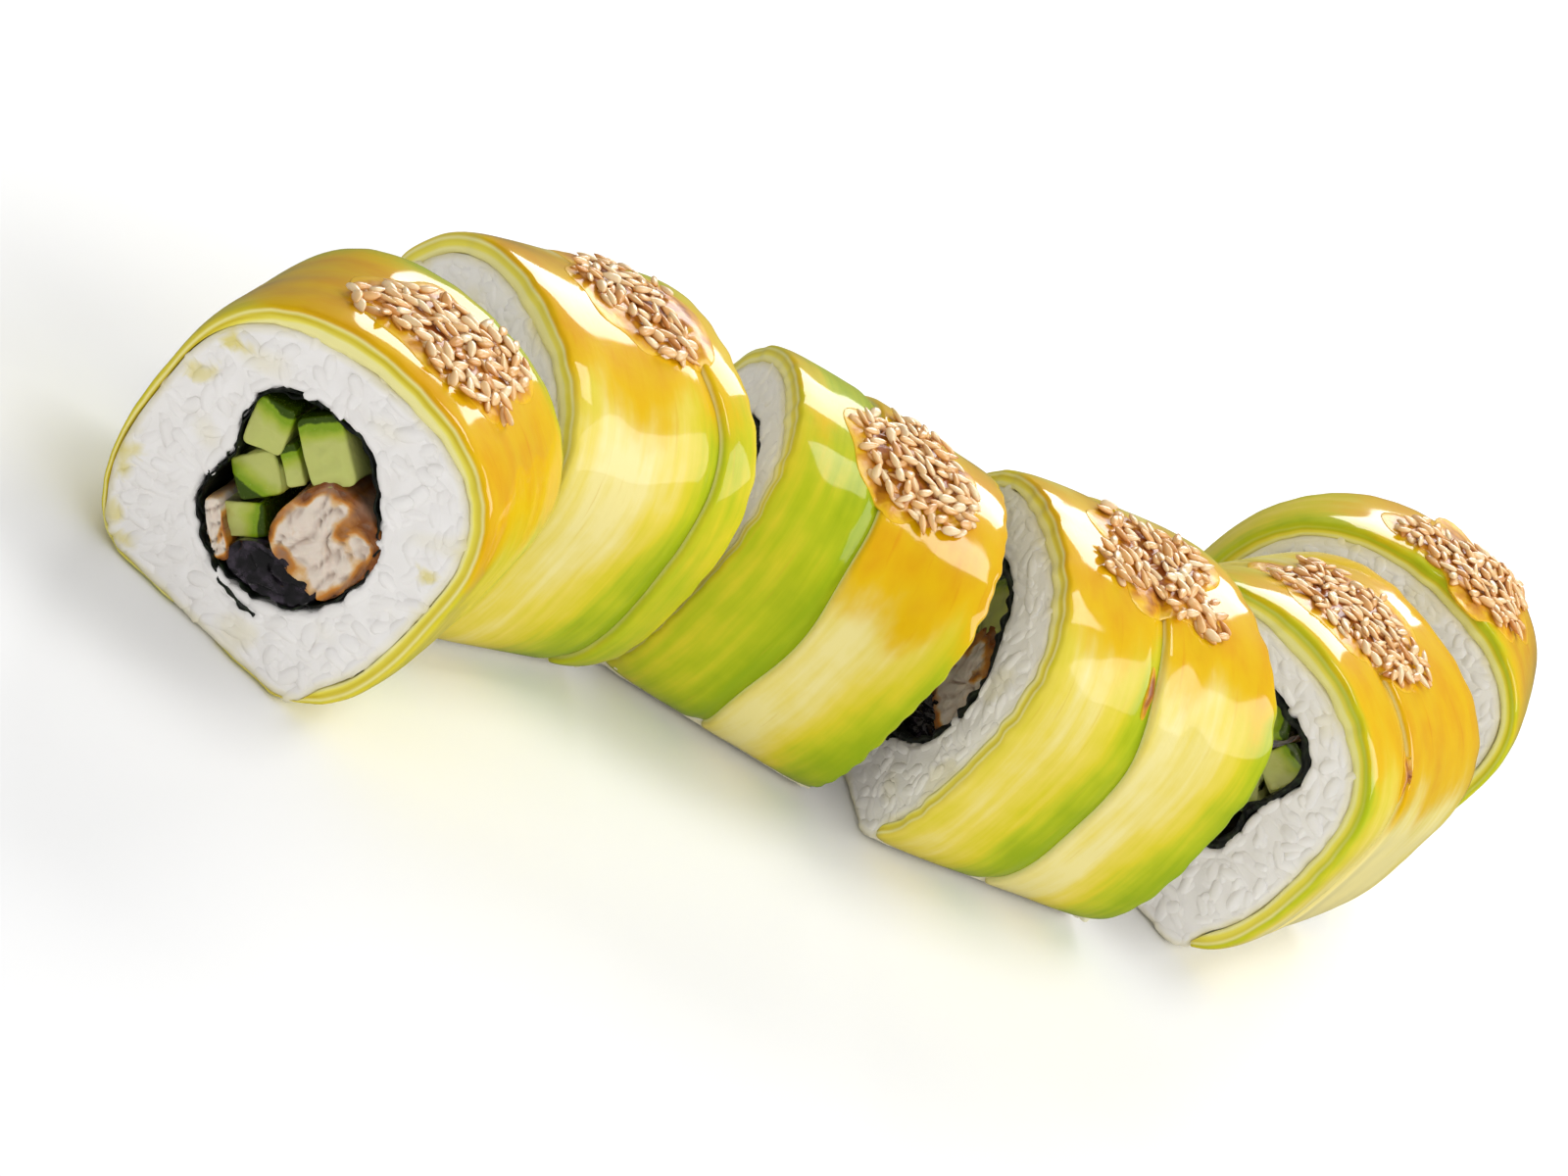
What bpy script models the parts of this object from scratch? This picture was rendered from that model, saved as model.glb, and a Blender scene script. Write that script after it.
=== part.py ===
"""Inside-out sushi roll wrapped in avocado, cut in six slices lying as one snaking row.

Each slice is a ring of rice round a nori tube. The tube holds cucumber sticks, a piece of
grilled eel and its dark skin. Strips of avocado lie over the crown and both sides, each
strip shingled over the one before it.

Slice frame: X along the roll from the front cut to the back cut, Y to the left, Z up from
the table. Outline coordinates are u = -Y (to the right when looking along X) and v = Z.
"""
import math
from dataclasses import dataclass

import bmesh
import bpy
from mathutils import Vector

MM = 0.001
COLLECTION = "uramaki_roll"

# Outline of a slice of size 1.0, in millimetres
HALF_WIDTH = 24.0
HEIGHT = 47.7
WAIST_HEIGHT = 27.0
CROWN_POWER = 2.28
BASE_POWER = 3.33
BASE_REACH = 1.05
OUTLINE_STATIONS = 40

# Avocado layer, in millimetres and degrees round the outline (crown at 90)
STRIP_DEPTH = 2.7
STRIP_END_DEPTH = 1.0
STRIP_EDGE = 0.6
STRIP_STEP = 0.5
STRIP_REACH_DEG = 54.0
STRIP_FADE_DEG = 16.0
STRIP_STATIONS = 24
SEAM_SLANT = 1.8
SEAM_GAP = 0.5

# Filling, in millimetres for size 1.0
GAP = 0.3
NORI_DEPTH = 0.5
TUBE_STATIONS = 36
TUBE_CENTRE = (0.0, 22.0)
TUBE_RADII = (13.1, 12.3, 14.3, 15.8, 10.6, 13.2, 13.9, 13.8)

COLOURS = {
    "rice": ((0.82, 0.82, 0.80), 0.6),
    "nori": ((0.012, 0.016, 0.012), 0.5),
    "avocado": ((0.62, 0.60, 0.05), 0.3),
    "cucumber": ((0.42, 0.56, 0.14), 0.35),
    "eel": ((0.80, 0.55, 0.38), 0.5),
    "eel_skin": ((0.03, 0.02, 0.03), 0.3),
}


@dataclass(frozen=True)
class Bar:
    """A filling stick: its slot, centre, width, height (mm), turn (deg) and squareness."""

    slot: str
    u: float
    v: float
    width: float
    height: float
    turn: float
    power: float = 5.0
    sides: int = 12


@dataclass(frozen=True)
class Slice:
    """One cut of the roll: table position (mm), turns of its cuts (deg), depth and size.

    The sway is how far its crown leans to the right of its base, in mm.
    """

    along: float
    across: float
    front_turn: float
    back_turn: float
    depth: float
    size: float
    seams: tuple = ()
    mirrored: bool = False
    raised: float = 0.0
    sway: float = 0.0

    @property
    def turn(self):
        return math.radians((self.front_turn + self.back_turn) / 2.0)

    def cut(self, u, fraction):
        """Place along the slice axis (mm) of a fraction of the way between the two cuts."""
        front = -self.depth / 2.0 + u * math.tan(math.radians(self.front_turn) - self.turn)
        back = self.depth / 2.0 + u * math.tan(math.radians(self.back_turn) - self.turn)
        return front + fraction * (back - front)


SLICES = (
    Slice(-102.3, 3.7, 35.0, 35.0, 28.0, 0.96),
    Slice(-61.3, 17.3, 1.0, -1.0, 34.5, 0.97, seams=((0.76, 0.04),)),
    Slice(-15.7, 7.6, -29.5, -31.3, 35.3, 0.965, ((0.40, 0.06),), True, 2.0, sway=4.0),
    Slice(21.8, -10.3, -19.0, -6.0, 36.5, 1.02, seams=((0.44, 0.08),), raised=1.0),
    Slice(69.9, -11.6, 20.0, 20.0, 38.5, 1.0, seams=((0.34, -0.06),), mirrored=True, raised=2.0),
    Slice(99.3, 8.5, 33.7, 44.6, 18.4, 1.07, raised=1.0, sway=5.0),
)

FILLING = (
    Bar("cucumber", -8.6, 28.2, 4.7, 6.0, 18.0),
    Bar("cucumber", -0.9, 31.0, 7.9, 5.5, -38.0),
    Bar("cucumber", -6.1, 21.2, 5.1, 5.5, -36.0),
    Bar("eel", 5.7, 22.0, 11.4, 12.3, -8.0, 2.8, 14),
    Bar("eel_skin", 3.5, 12.7, 9.6, 4.8, 14.0, 2.6, 14),
)
FRONT_FILLING = (
    Bar("cucumber", -3.4, 26.0, 4.2, 1.8, -38.0),
    Bar("cucumber", -3.6, 16.7, 5.6, 3.8, 42.0),
    Bar("eel", -5.4, 12.5, 6.0, 1.7, -42.0),
)


def outline(angle, cut):
    """Outer outline point (u, v) in mm at an angle round the slice."""
    c, s = math.cos(angle), math.sin(angle)
    power = 2.0 / (CROWN_POWER if s > 0.0 else BASE_POWER)
    rise = HEIGHT - WAIST_HEIGHT if s > 0.0 else WAIST_HEIGHT * BASE_REACH
    u = HALF_WIDTH * math.copysign(abs(c) ** power, c)
    v = WAIST_HEIGHT + rise * math.copysign(abs(s) ** power, s)
    v = max(v, 0.0)
    return Vector((u * cut.size + cut.sway * v / HEIGHT, v * cut.size))


def inset(angle, cut, depth):
    """Outline point moved inwards, square to the outline, by a depth in mm."""
    step = math.radians(1.0)
    tangent = (outline(angle + step, cut) - outline(angle - step, cut)).normalized()
    return outline(angle, cut) + Vector((-tangent.y, tangent.x)) * depth


def strip_depth(angle):
    """Avocado depth in mm at an angle: full over the crown, fading at both lower ends."""
    from_crown = abs(math.degrees(angle) - 90.0)
    left = 90.0 + STRIP_REACH_DEG - from_crown
    if left < 0.0:
        return 0.0
    fade = min(left / STRIP_FADE_DEG, 1.0)
    return STRIP_END_DEPTH + (STRIP_DEPTH - STRIP_END_DEPTH) * fade * (2.0 - fade)


def tube_radius(cut, angle):
    """Radius of the hole in the rice at an angle, smoothly through the eight named radii."""
    if cut.mirrored:
        angle = math.pi - angle
    turn = (angle / math.tau % 1.0) * len(TUBE_RADII)
    low = int(turn)
    blend = (1.0 - math.cos(math.pi * (turn - low))) / 2.0
    start, end = TUBE_RADII[low % 8], TUBE_RADII[(low + 1) % 8]
    return (start + (end - start) * blend) * cut.size


def finish(name, mesh, slot, parent):
    """Shade a mesh, give it its material and hang its object under a slice's empty."""
    mesh.materials.append(bpy.data.materials[slot])
    mesh.shade_smooth()
    mesh.set_sharp_from_angle(angle=math.radians(35.0))
    body = bpy.data.objects.new(name, mesh)
    body.parent = parent
    bpy.data.collections[COLLECTION].objects.link(body)
    return body


def extrude_loops(name, loops, depth):
    """Mesh of a flat outline, with any holes, extruded to a depth in mm along Z."""
    curve = bpy.data.curves.new(name, "CURVE")
    curve.dimensions = "2D"
    curve.fill_mode = "BOTH"
    curve.extrude = depth / 2.0 * MM
    for loop in loops:
        spline = curve.splines.new("POLY")
        spline.points.add(len(loop) - 1)
        spline.use_cyclic_u = True
        for knot, point in zip(spline.points, loop):
            knot.co = (point.x * MM, point.y * MM, 0.0, 1.0)
    outline_object = bpy.data.objects.new(f"{name}_outline", curve)
    bpy.data.collections[COLLECTION].objects.link(outline_object)
    graph = bpy.context.evaluated_depsgraph_get()
    mesh = bpy.data.meshes.new_from_object(outline_object.evaluated_get(graph))
    bpy.data.objects.remove(outline_object, do_unlink=True)
    mesh.name = name
    return mesh


def build_prism(name, loops, slot, cut, parent, centre=(0.0, 0.0), turn=0.0):
    """Run an outline through the slice, its ends slid along the axis onto the two cuts.

    The loops are in mm round their own centre (u, v), turned anticlockwise by the turn.
    """
    mesh = extrude_loops(name, loops, cut.depth)
    body_mesh = bmesh.new()
    body_mesh.from_mesh(mesh)
    bmesh.ops.remove_doubles(body_mesh, verts=body_mesh.verts, dist=0.00001)
    bmesh.ops.recalc_face_normals(body_mesh, faces=body_mesh.faces)
    for vertex in body_mesh.verts:
        across, up, end = vertex.co
        u = centre[0] + (across * math.cos(turn) - up * math.sin(turn)) / MM
        fraction = 0.0 if end < 0.0 else 1.0
        vertex.co = (cut.cut(u, fraction) * MM, -across, up)
    bmesh.ops.reverse_faces(body_mesh, faces=body_mesh.faces)
    body_mesh.to_mesh(mesh)
    body_mesh.free()
    body = finish(name, mesh, slot, parent)
    body.location = (0.0, -centre[0] * MM, centre[1] * MM)
    body.rotation_euler.x = -turn
    return body


def swayed(cut, height):
    """How far the slice's sway carries a point to the right at a height, in mm."""
    return cut.sway * height / (HEIGHT * cut.size)


def tube_centre(cut):
    """Middle of the nori tube (u, v) in mm."""
    side = -1.0 if cut.mirrored else 1.0
    centre = Vector((TUBE_CENTRE[0] * side, TUBE_CENTRE[1] + cut.raised)) * cut.size
    return centre + Vector((swayed(cut, centre.y), 0.0))


def tube_loop(cut, depth):
    """Loop round the tube's middle, a depth in mm inside the hole in the rice."""
    loop = []
    for station in range(TUBE_STATIONS):
        angle = math.tau * station / TUBE_STATIONS
        radius = tube_radius(cut, angle) - depth
        loop.append(Vector((math.cos(angle), math.sin(angle))) * radius)
    return loop


def build_rice(name, cut, parent):
    """Rice ring: the slice's outline under the avocado, with the hole for the nori tube."""
    outer = []
    for station in range(OUTLINE_STATIONS):
        angle = math.tau * (station + 0.5) / OUTLINE_STATIONS - math.pi / 2.0
        depth = strip_depth(angle)
        outer.append(inset(angle, cut, depth + GAP if depth else 0.0))
    centre = tube_centre(cut)
    hole = [centre + point for point in tube_loop(cut, 0.0)]
    return build_prism(name, (outer, hole), "rice", cut, parent)


def build_nori(name, cut, parent):
    """Nori tube lining the hole in the rice."""
    loops = (tube_loop(cut, GAP), tube_loop(cut, GAP + NORI_DEPTH))
    return build_prism(name, loops, "nori", cut, parent, centre=tube_centre(cut))


def build_bar(name, cut, bar, parent):
    """Filling stick: a rounded bar placed and turned inside the tube."""
    side = -1.0 if cut.mirrored else 1.0
    loop = []
    for index in range(bar.sides):
        angle = math.tau * (index + 0.5) / bar.sides
        c, s = math.cos(angle), math.sin(angle)
        across = math.copysign(abs(c) ** (2.0 / bar.power), c) * bar.width / 2.0
        up = math.copysign(abs(s) ** (2.0 / bar.power), s) * bar.height / 2.0
        loop.append(Vector((across, up)) * cut.size)
    hub = tube_centre(cut)
    centre = (hub.x + bar.u * side * cut.size, (bar.v + cut.raised) * cut.size)
    turn = math.radians(bar.turn) * side
    return build_prism(name, (loop,), bar.slot, cut, parent, centre, turn)


def loft(name, rings, slot, parent):
    """Skin equal rings of points (mm) into one body with two end caps."""
    width, count = len(rings[0]), len(rings)
    faces = [tuple(reversed(range(width)))]
    faces.append(tuple((count - 1) * width + point for point in range(width)))
    for start in range(0, (count - 1) * width, width):
        for point in range(width):
            after = (point + 1) % width
            faces.append((start + point, start + after, start + width + after, start + width + point))
    mesh = bpy.data.meshes.new(name)
    mesh.from_pydata([Vector(point) * MM for ring in rings for point in ring], [], faces)
    return finish(name, mesh, slot, parent)


def edge_points(cut, u, fraction, sunk, depth, seam, front):
    """Three section points of one strip edge: inner corner, rounded side, outer corner."""
    inward = 1.0 if front else -1.0
    place = cut.cut(u, fraction)
    lean = SEAM_SLANT if seam else 0.0
    shift = SEAM_GAP if seam and front else 0.0
    outer = place - lean + shift
    side = outer + lean * STRIP_EDGE / depth
    return ((place + shift, depth), (side, sunk + STRIP_EDGE), (outer + inward * STRIP_EDGE, sunk))


def build_strip(name, cut, index, parent):
    """Avocado strip over the crown, from its front cut or seam to the next seam or cut.

    A loft between unlike sections: the depth fades towards both lower ends, the seams lean
    along the arc, and the back edge sinks under the next strip.
    """
    bounds = ((0.0, 0.0),) + cut.seams + ((1.0, 0.0),)
    (start, start_lean), (end, end_lean) = bounds[index], bounds[index + 1]
    reach = math.radians(90.0 + STRIP_REACH_DEG)
    rings = []
    for station in range(STRIP_STATIONS + 1):
        way = 1.0 - 2.0 * station / STRIP_STATIONS
        angle = math.pi / 2.0 - reach * way
        depth = strip_depth(angle)
        u = outline(angle, cut).x
        sunk = min(STRIP_STEP, depth / 3.0) if index + 1 < len(bounds) - 1 else 0.0
        front = edge_points(cut, u, start + start_lean * way, 0.0, depth, index > 0, True)
        back = edge_points(cut, u, end + end_lean * way, sunk, depth, sunk > 0.0, False)
        middle = ((front[2][0] + back[2][0]) / 2.0, 0.0)
        ring = []
        for place, level in front + (middle,) + back[::-1]:
            point = inset(angle, cut, level)
            ring.append((place, -point.x, max(point.y, GAP)))
        rings.append(ring)
    return loft(name, rings, "avocado", parent)


def build_slice(number, cut):
    """Build every piece of one slice under an empty at its place on the table."""
    parent = bpy.data.objects.new(f"slice_{number}", None)
    parent.location = (cut.along * MM, cut.across * MM, 0.0)
    parent.rotation_euler.z = cut.turn
    bpy.data.collections[COLLECTION].objects.link(parent)
    build_rice(f"rice_{number}", cut, parent)
    build_nori(f"nori_{number}", cut, parent)
    counts = {}
    for bar in FILLING + (FRONT_FILLING if number == 1 else ()):
        counts[bar.slot] = counts.get(bar.slot, 0) + 1
        build_bar(f"{bar.slot}_{number}_{counts[bar.slot]}", cut, bar, parent)
    for index in range(len(cut.seams) + 1):
        build_strip(f"avocado_{number}_{index + 1}", cut, index, parent)


def make_material(slot, colour, roughness):
    """Plain Principled material for one kind of food."""
    material = bpy.data.materials.new(slot)
    material.use_nodes = True
    surface = material.node_tree.nodes["Principled BSDF"]
    surface.inputs["Base Color"].default_value = (*colour, 1.0)
    surface.inputs["Roughness"].default_value = roughness
    surface.inputs["Metallic"].default_value = 0.0


def main():
    for leftover in list(bpy.data.objects):
        bpy.data.objects.remove(leftover, do_unlink=True)
    collection = bpy.data.collections.new(COLLECTION)
    bpy.context.scene.collection.children.link(collection)
    for slot, (colour, roughness) in COLOURS.items():
        make_material(slot, colour, roughness)
    for number, cut in enumerate(SLICES, start=1):
        build_slice(number, cut)


main()
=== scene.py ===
"""Looks of an inside-out sushi roll: six thick slices lying as one snaking row.

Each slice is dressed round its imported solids. A pressed core of rice carries whole grains on
both cuts, a nori sheet is rolled round cucumber sticks and grilled eel, avocado strips lie
shingled over the crown, and a glaze, a sauce film and toasted sesame lie on top.

Lengths are in millimetres unless a name says otherwise, and meshes are written in metres.
Slice coordinates: u to the right when looking along the roll, v up from the table, and x
along the roll from the front cut to the back cut. Girth is the way round the outline from
the crown, positive to the right.
"""
from __future__ import annotations

import logging
import math
from dataclasses import dataclass, field
from enum import Enum

import bpy
import numpy as np
from mathutils import Matrix, Vector


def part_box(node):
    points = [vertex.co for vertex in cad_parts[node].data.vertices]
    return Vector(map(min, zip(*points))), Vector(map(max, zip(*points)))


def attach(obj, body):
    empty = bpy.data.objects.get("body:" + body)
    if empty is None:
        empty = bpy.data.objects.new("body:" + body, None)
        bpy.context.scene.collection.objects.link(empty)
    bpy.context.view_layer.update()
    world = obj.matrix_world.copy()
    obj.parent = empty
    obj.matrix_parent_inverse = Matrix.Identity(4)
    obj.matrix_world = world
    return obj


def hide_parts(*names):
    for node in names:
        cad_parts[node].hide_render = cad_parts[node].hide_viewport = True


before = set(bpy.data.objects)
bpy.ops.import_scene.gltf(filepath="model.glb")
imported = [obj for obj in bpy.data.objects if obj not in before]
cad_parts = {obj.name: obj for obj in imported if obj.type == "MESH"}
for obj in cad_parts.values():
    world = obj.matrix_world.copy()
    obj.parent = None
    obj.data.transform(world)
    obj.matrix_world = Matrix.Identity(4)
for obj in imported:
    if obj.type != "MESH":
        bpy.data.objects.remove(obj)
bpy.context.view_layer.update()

Array = np.ndarray
Colour = tuple[float, float, float]
LOG = logging.getLogger("uramaki")
MM = 0.001
BODY = "root"


class Slot(Enum):
    """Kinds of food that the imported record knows."""

    RICE = "rice"
    NORI = "nori"
    AVOCADO = "avocado"
    CUCUMBER = "cucumber"
    EEL = "eel"
    EEL_SKIN = "eel_skin"


# ---------------------------------------------------------------- numbers


def smooth(low: float | Array, high: float | Array, value: Array) -> Array:
    """Soft step from 0 at low to 1 at high: 3t^2 - 2t^3 of the clamped share t.

    Args:
        low: Value that gives 0.
        high: Value that gives 1; it may be lower than low.
        value: Numbers to step.

    Returns:
        Numbers from 0 to 1.
    """
    share = np.clip((value - low) / (high - low), 0.0, 1.0)
    return share * share * (3.0 - 2.0 * share)


@dataclass(frozen=True)
class Ripple:
    """Smooth unevenness in space: a sum of sine waves that run in random directions.

    Attributes:
        seed: Seed of the directions and phases.
        length: Middle wavelength in mm.
        count: Number of waves.
    """

    seed: int
    length: float
    count: int = 16

    def at(self, places: Array) -> Array:
        """Sum of sin(k . p + phase), scaled to a spread of about 1.

        Args:
            places: Points, with the coordinates on the last axis.

        Returns:
            One number for each point.
        """
        draw = np.random.default_rng(self.seed)
        run = draw.normal(size=(self.count, places.shape[-1]))
        run /= np.linalg.norm(run, axis=1, keepdims=True)
        run *= math.tau / (self.length * draw.uniform(0.65, 1.5, (self.count, 1)))
        phase = draw.uniform(0.0, math.tau, self.count)
        return np.sin(places @ run.T + phase).sum(-1) * math.sqrt(2.0 / self.count)

    def ridges(self, places: Array) -> Array:
        """Sharp creases: 1 along the zero lines of the ripple, falling to 0 away from them."""
        return np.clip(1.0 - np.abs(self.at(places)), 0.0, 1.0)


# ---------------------------------------------------------------- meshes


@dataclass
class Body:
    """A closed mesh as whole arrays, with the numbers its finish reads at every vertex.

    Attributes:
        places: Vertices in mm, one row each.
        faces: Arrays of vertex numbers, each array holding faces of one size.
        marks: Named numbers, one for each vertex.
    """

    places: Array
    faces: list[Array]
    marks: dict[str, Array] = field(default_factory=dict)

    @classmethod
    def tube(cls, grid: Array, marks: dict[str, Array] | None = None) -> Body:
        """Skin a grid of closed loops and shut both ends with one face each.

        Args:
            grid: Points as (loop, place round the loop, coordinate).
            marks: Named numbers as (loop, place round the loop).

        Returns:
            The closed body.
        """
        loops, width = grid.shape[:2]
        number = np.arange(loops * width).reshape(loops, width)
        beside = np.roll(number, -1, axis=1)
        quads = np.stack([number[:-1], beside[:-1], beside[1:], number[1:]], -1)
        ends = [number[:1, ::-1], number[-1:]]
        flat = {name: mark.ravel() for name, mark in (marks or {}).items()}
        return cls(grid.reshape(-1, 3), [quads.reshape(-1, 4), *ends], flat)

    @classmethod
    def ring(cls, grid: Array, marks: dict[str, Array] | None = None) -> Body:
        """Skin a grid that closes on itself both ways.

        Args:
            grid: Points as (section, place round the section, coordinate).
            marks: Named numbers as (section, place round the section).

        Returns:
            The closed body.
        """
        number = np.arange(grid.shape[0] * grid.shape[1]).reshape(grid.shape[:2])
        beside = np.roll(number, -1, axis=1)
        after = np.roll(number, -1, axis=0)
        quads = np.stack([number, beside, np.roll(after, -1, axis=1), after], -1)
        flat = {name: mark.ravel() for name, mark in (marks or {}).items()}
        return cls(grid.reshape(-1, 3), [quads.reshape(-1, 4)], flat)

    @classmethod
    def scatter(cls, one: Body, places: Array, marks: dict[str, Array]) -> Body:
        """Join many copies of one body whose vertices have already been put in place.

        Args:
            one: The body that is repeated.
            places: Points as (copy, vertex, coordinate).
            marks: Named numbers as (copy, vertex).

        Returns:
            The joined body.
        """
        shift = (np.arange(len(places)) * places.shape[1])[:, None, None]
        faces = [(part[None] + shift).reshape(-1, part.shape[1]) for part in one.faces]
        flat = {name: mark.ravel() for name, mark in marks.items()}
        return cls(places.reshape(-1, 3), faces, flat)

    def volume(self) -> float:
        """Signed volume from the sum of a . (b x c) over a fan of triangles."""
        total = 0.0
        for part in self.faces:
            corner = self.places[part]
            for step in range(1, part.shape[1] - 1):
                cross = np.cross(corner[:, step], corner[:, step + 1])
                total += float((corner[:, 0] * cross).sum()) / 6.0
        return total

    def piece(self, name: str, finish: Finish, nodes: tuple[str, ...] = ()) -> bpy.types.Object:
        """Write the body as a smooth object that rides on the roll.

        Args:
            name: Name of the piece.
            finish: Finish that it wears.
            nodes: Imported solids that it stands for.

        Returns:
            The object, already dressed.
        """
        faces = self.faces if self.volume() > 0.0 else [part[:, ::-1] for part in self.faces]
        corners = np.concatenate([part.ravel() for part in faces])
        counts = np.concatenate([np.full(len(part), part.shape[1]) for part in faces])
        mesh = bpy.data.meshes.new(name)
        mesh.vertices.add(len(self.places))
        mesh.vertices.foreach_set("co", (self.places * MM).ravel().astype(np.float32))
        mesh.loops.add(len(corners))
        mesh.loops.foreach_set("vertex_index", corners.astype(np.int32))
        mesh.polygons.add(len(counts))
        mesh.polygons.foreach_set("loop_start", (np.cumsum(counts) - counts).astype(np.int32))
        mesh.update(calc_edges=True)
        mesh.shade_smooth()
        for key, mark in self.marks.items():
            layer = mesh.attributes.new(key, "FLOAT", "POINT")
            layer.data.foreach_set("value", mark.astype(np.float32))
        mesh.materials.append(finish.material())
        made = bpy.data.objects.new(name, mesh)
        bpy.context.scene.collection.objects.link(made)
        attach(made, BODY)
        if nodes:
            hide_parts(*nodes)
        LOG.info("%s: %d faces", name, len(counts))
        return made


# ---------------------------------------------------------------- shader maths


class Value:
    """A number in a material; sums written with it add their own nodes."""

    def __init__(self, graph: Graph, socket: bpy.types.NodeSocket) -> None:
        """Wrap an output socket of a graph."""
        self.graph = graph
        self.socket = socket

    def _sum(self, operation: str, first: Value | float, second: Value | float) -> Value:
        """Add one Math node.

        Args:
            operation: Name of the sum.
            first: Left number.
            second: Right number.

        Returns:
            The result.
        """
        made = self.graph.node("ShaderNodeMath", {"operation": operation}, {0: first, 1: second})
        return Value(self.graph, made.outputs[0])

    def __add__(self, other: Value | float) -> Value:
        """self + other"""
        return self._sum("ADD", self, other)

    def __radd__(self, other: float) -> Value:
        """other + self"""
        return self._sum("ADD", other, self)

    def __sub__(self, other: Value | float) -> Value:
        """self - other"""
        return self._sum("SUBTRACT", self, other)

    def __rsub__(self, other: float) -> Value:
        """other - self"""
        return self._sum("SUBTRACT", other, self)

    def __mul__(self, other: Value | float) -> Value:
        """self * other"""
        return self._sum("MULTIPLY", self, other)

    def __rmul__(self, other: float) -> Value:
        """other * self"""
        return self._sum("MULTIPLY", other, self)

    def __pow__(self, other: float) -> Value:
        """self to the power of other"""
        return self._sum("POWER", self, other)

    def step(self, low: float, high: float) -> Value:
        """Soft step from 0 at low to 1 at high.

        Args:
            low: Value that gives 0.
            high: Value that gives 1.

        Returns:
            The stepped number.
        """
        made = self.graph.node(
            "ShaderNodeMapRange",
            {"interpolation_type": "SMOOTHSTEP"},
            {"Value": self, "From Min": low, "From Max": high},
        )
        return Value(self.graph, made.outputs[0])


class Graph:
    """Node tree of one material."""

    def __init__(self, name: str) -> None:
        """Start a material with nothing in its tree but the output."""
        self.material = bpy.data.materials.new(name)
        self.material.use_nodes = True
        self.tree = self.material.node_tree
        self.tree.nodes.clear()

    def node(self, kind: str, settings: dict | None = None, sockets: dict | None = None) -> bpy.types.Node:
        """Add a node: its settings first, then the values or links of its sockets.

        Args:
            kind: Node type.
            settings: Attributes of the node; "stops" fills a colour ramp.
            sockets: Values, colours, sockets or Values by socket name or number.

        Returns:
            The node.
        """
        made = self.tree.nodes.new(kind)
        for key, setting in (settings or {}).items():
            if key == "stops":
                self._stops(made.color_ramp, setting)
            else:
                setattr(made, key, setting)
        for key, given in (sockets or {}).items():
            socket = made.inputs[key] if isinstance(key, int) else self._socket(made, key)
            if isinstance(given, Value):
                given = given.socket
            if isinstance(given, bpy.types.NodeSocket):
                self.tree.links.new(given, socket)
            elif isinstance(given, tuple):
                whole = (*given, 1.0) if len(given) < len(socket.default_value) else given
                socket.default_value = whole
            else:
                socket.default_value = given
        return made

    @staticmethod
    def _socket(made: bpy.types.Node, key: str) -> bpy.types.NodeSocket:
        """Input socket of a node by its identifier, or else by its name."""
        return next((s for s in made.inputs if s.identifier == key), None) or made.inputs[key]

    @staticmethod
    def _stops(ramp: bpy.types.ColorRamp, stops: tuple) -> None:
        """Fill a colour ramp with (place, colour) pairs in rising order."""
        while len(ramp.elements) < len(stops):
            ramp.elements.new(1.0)
        for element, (place, colour) in zip(ramp.elements, stops):
            element.position = place
            element.color = (*colour, 1.0)

    def mark(self, name: str) -> Value:
        """Named number that the mesh carries."""
        made = self.node("ShaderNodeAttribute", {"attribute_name": name})
        return Value(self, made.outputs["Fac"])

    def where(self) -> bpy.types.NodeSocket:
        """Place on the object, in metres."""
        return self.node("ShaderNodeTexCoord").outputs["Object"]

    def noise(self, scale: float, detail: float = 2.0, vector: object = None) -> Value:
        """Cloudy noise from 0 to 1.

        Args:
            scale: Clouds for each metre, or for each unit of the vector.
            detail: Octaves of finer clouds.
            vector: Place to read it at; the place on the object if left out.

        Returns:
            The noise.
        """
        sockets = {"Vector": vector or self.where(), "Scale": scale, "Detail": detail}
        return Value(self, self.node("ShaderNodeTexNoise", None, sockets).outputs["Fac"])

    def vector(self, x: Value | float, y: Value | float, z: Value | float) -> bpy.types.NodeSocket:
        """Join three numbers as one vector."""
        return self.node("ShaderNodeCombineXYZ", None, {"X": x, "Y": y, "Z": z}).outputs[0]

    def ramp(self, factor: Value, *stops: tuple[float, Colour]) -> bpy.types.NodeSocket:
        """Colour read off a row of stops.

        Args:
            factor: Number from 0 to 1.
            stops: Pairs of place and colour, in rising order.

        Returns:
            The colour.
        """
        return self.node("ShaderNodeValToRGB", {"stops": stops}, {"Fac": factor}).outputs["Color"]

    def mix(self, factor: Value | float, first: object, second: object) -> bpy.types.NodeSocket:
        """Blend two colours.

        Args:
            factor: Share of the second colour.
            first: Colour or socket.
            second: Colour or socket.

        Returns:
            The blended colour.
        """
        made = self.node(
            "ShaderNodeMix",
            {"data_type": "RGBA", "blend_type": "MIX", "clamp_factor": True},
            {"Factor_Float": factor, "A_Color": first, "B_Color": second},
        )
        return next(s for s in made.outputs if s.identifier == "Result_Color")

    def bump(self, height: Value, depth: float, strength: float = 1.0) -> bpy.types.NodeSocket:
        """Fine relief.

        Args:
            height: Height from 0 to 1.
            depth: What a height of 1 stands for, in mm.
            strength: Share of the relief that is used.

        Returns:
            The normal.
        """
        sockets = {"Height": height, "Distance": depth * MM, "Strength": strength}
        return self.node("ShaderNodeBump", None, sockets).outputs["Normal"]

    def surface(self, **sockets: object) -> bpy.types.Material:
        """Close the graph with a Principled surface; underscores in names stand for spaces."""
        named = {key.replace("_", " "): given for key, given in sockets.items()}
        shader = self.node("ShaderNodeBsdfPrincipled", {"subsurface_method": "RANDOM_WALK"}, named)
        self.node("ShaderNodeOutputMaterial", None, {"Surface": shader.outputs["BSDF"]})
        return self.material


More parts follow.
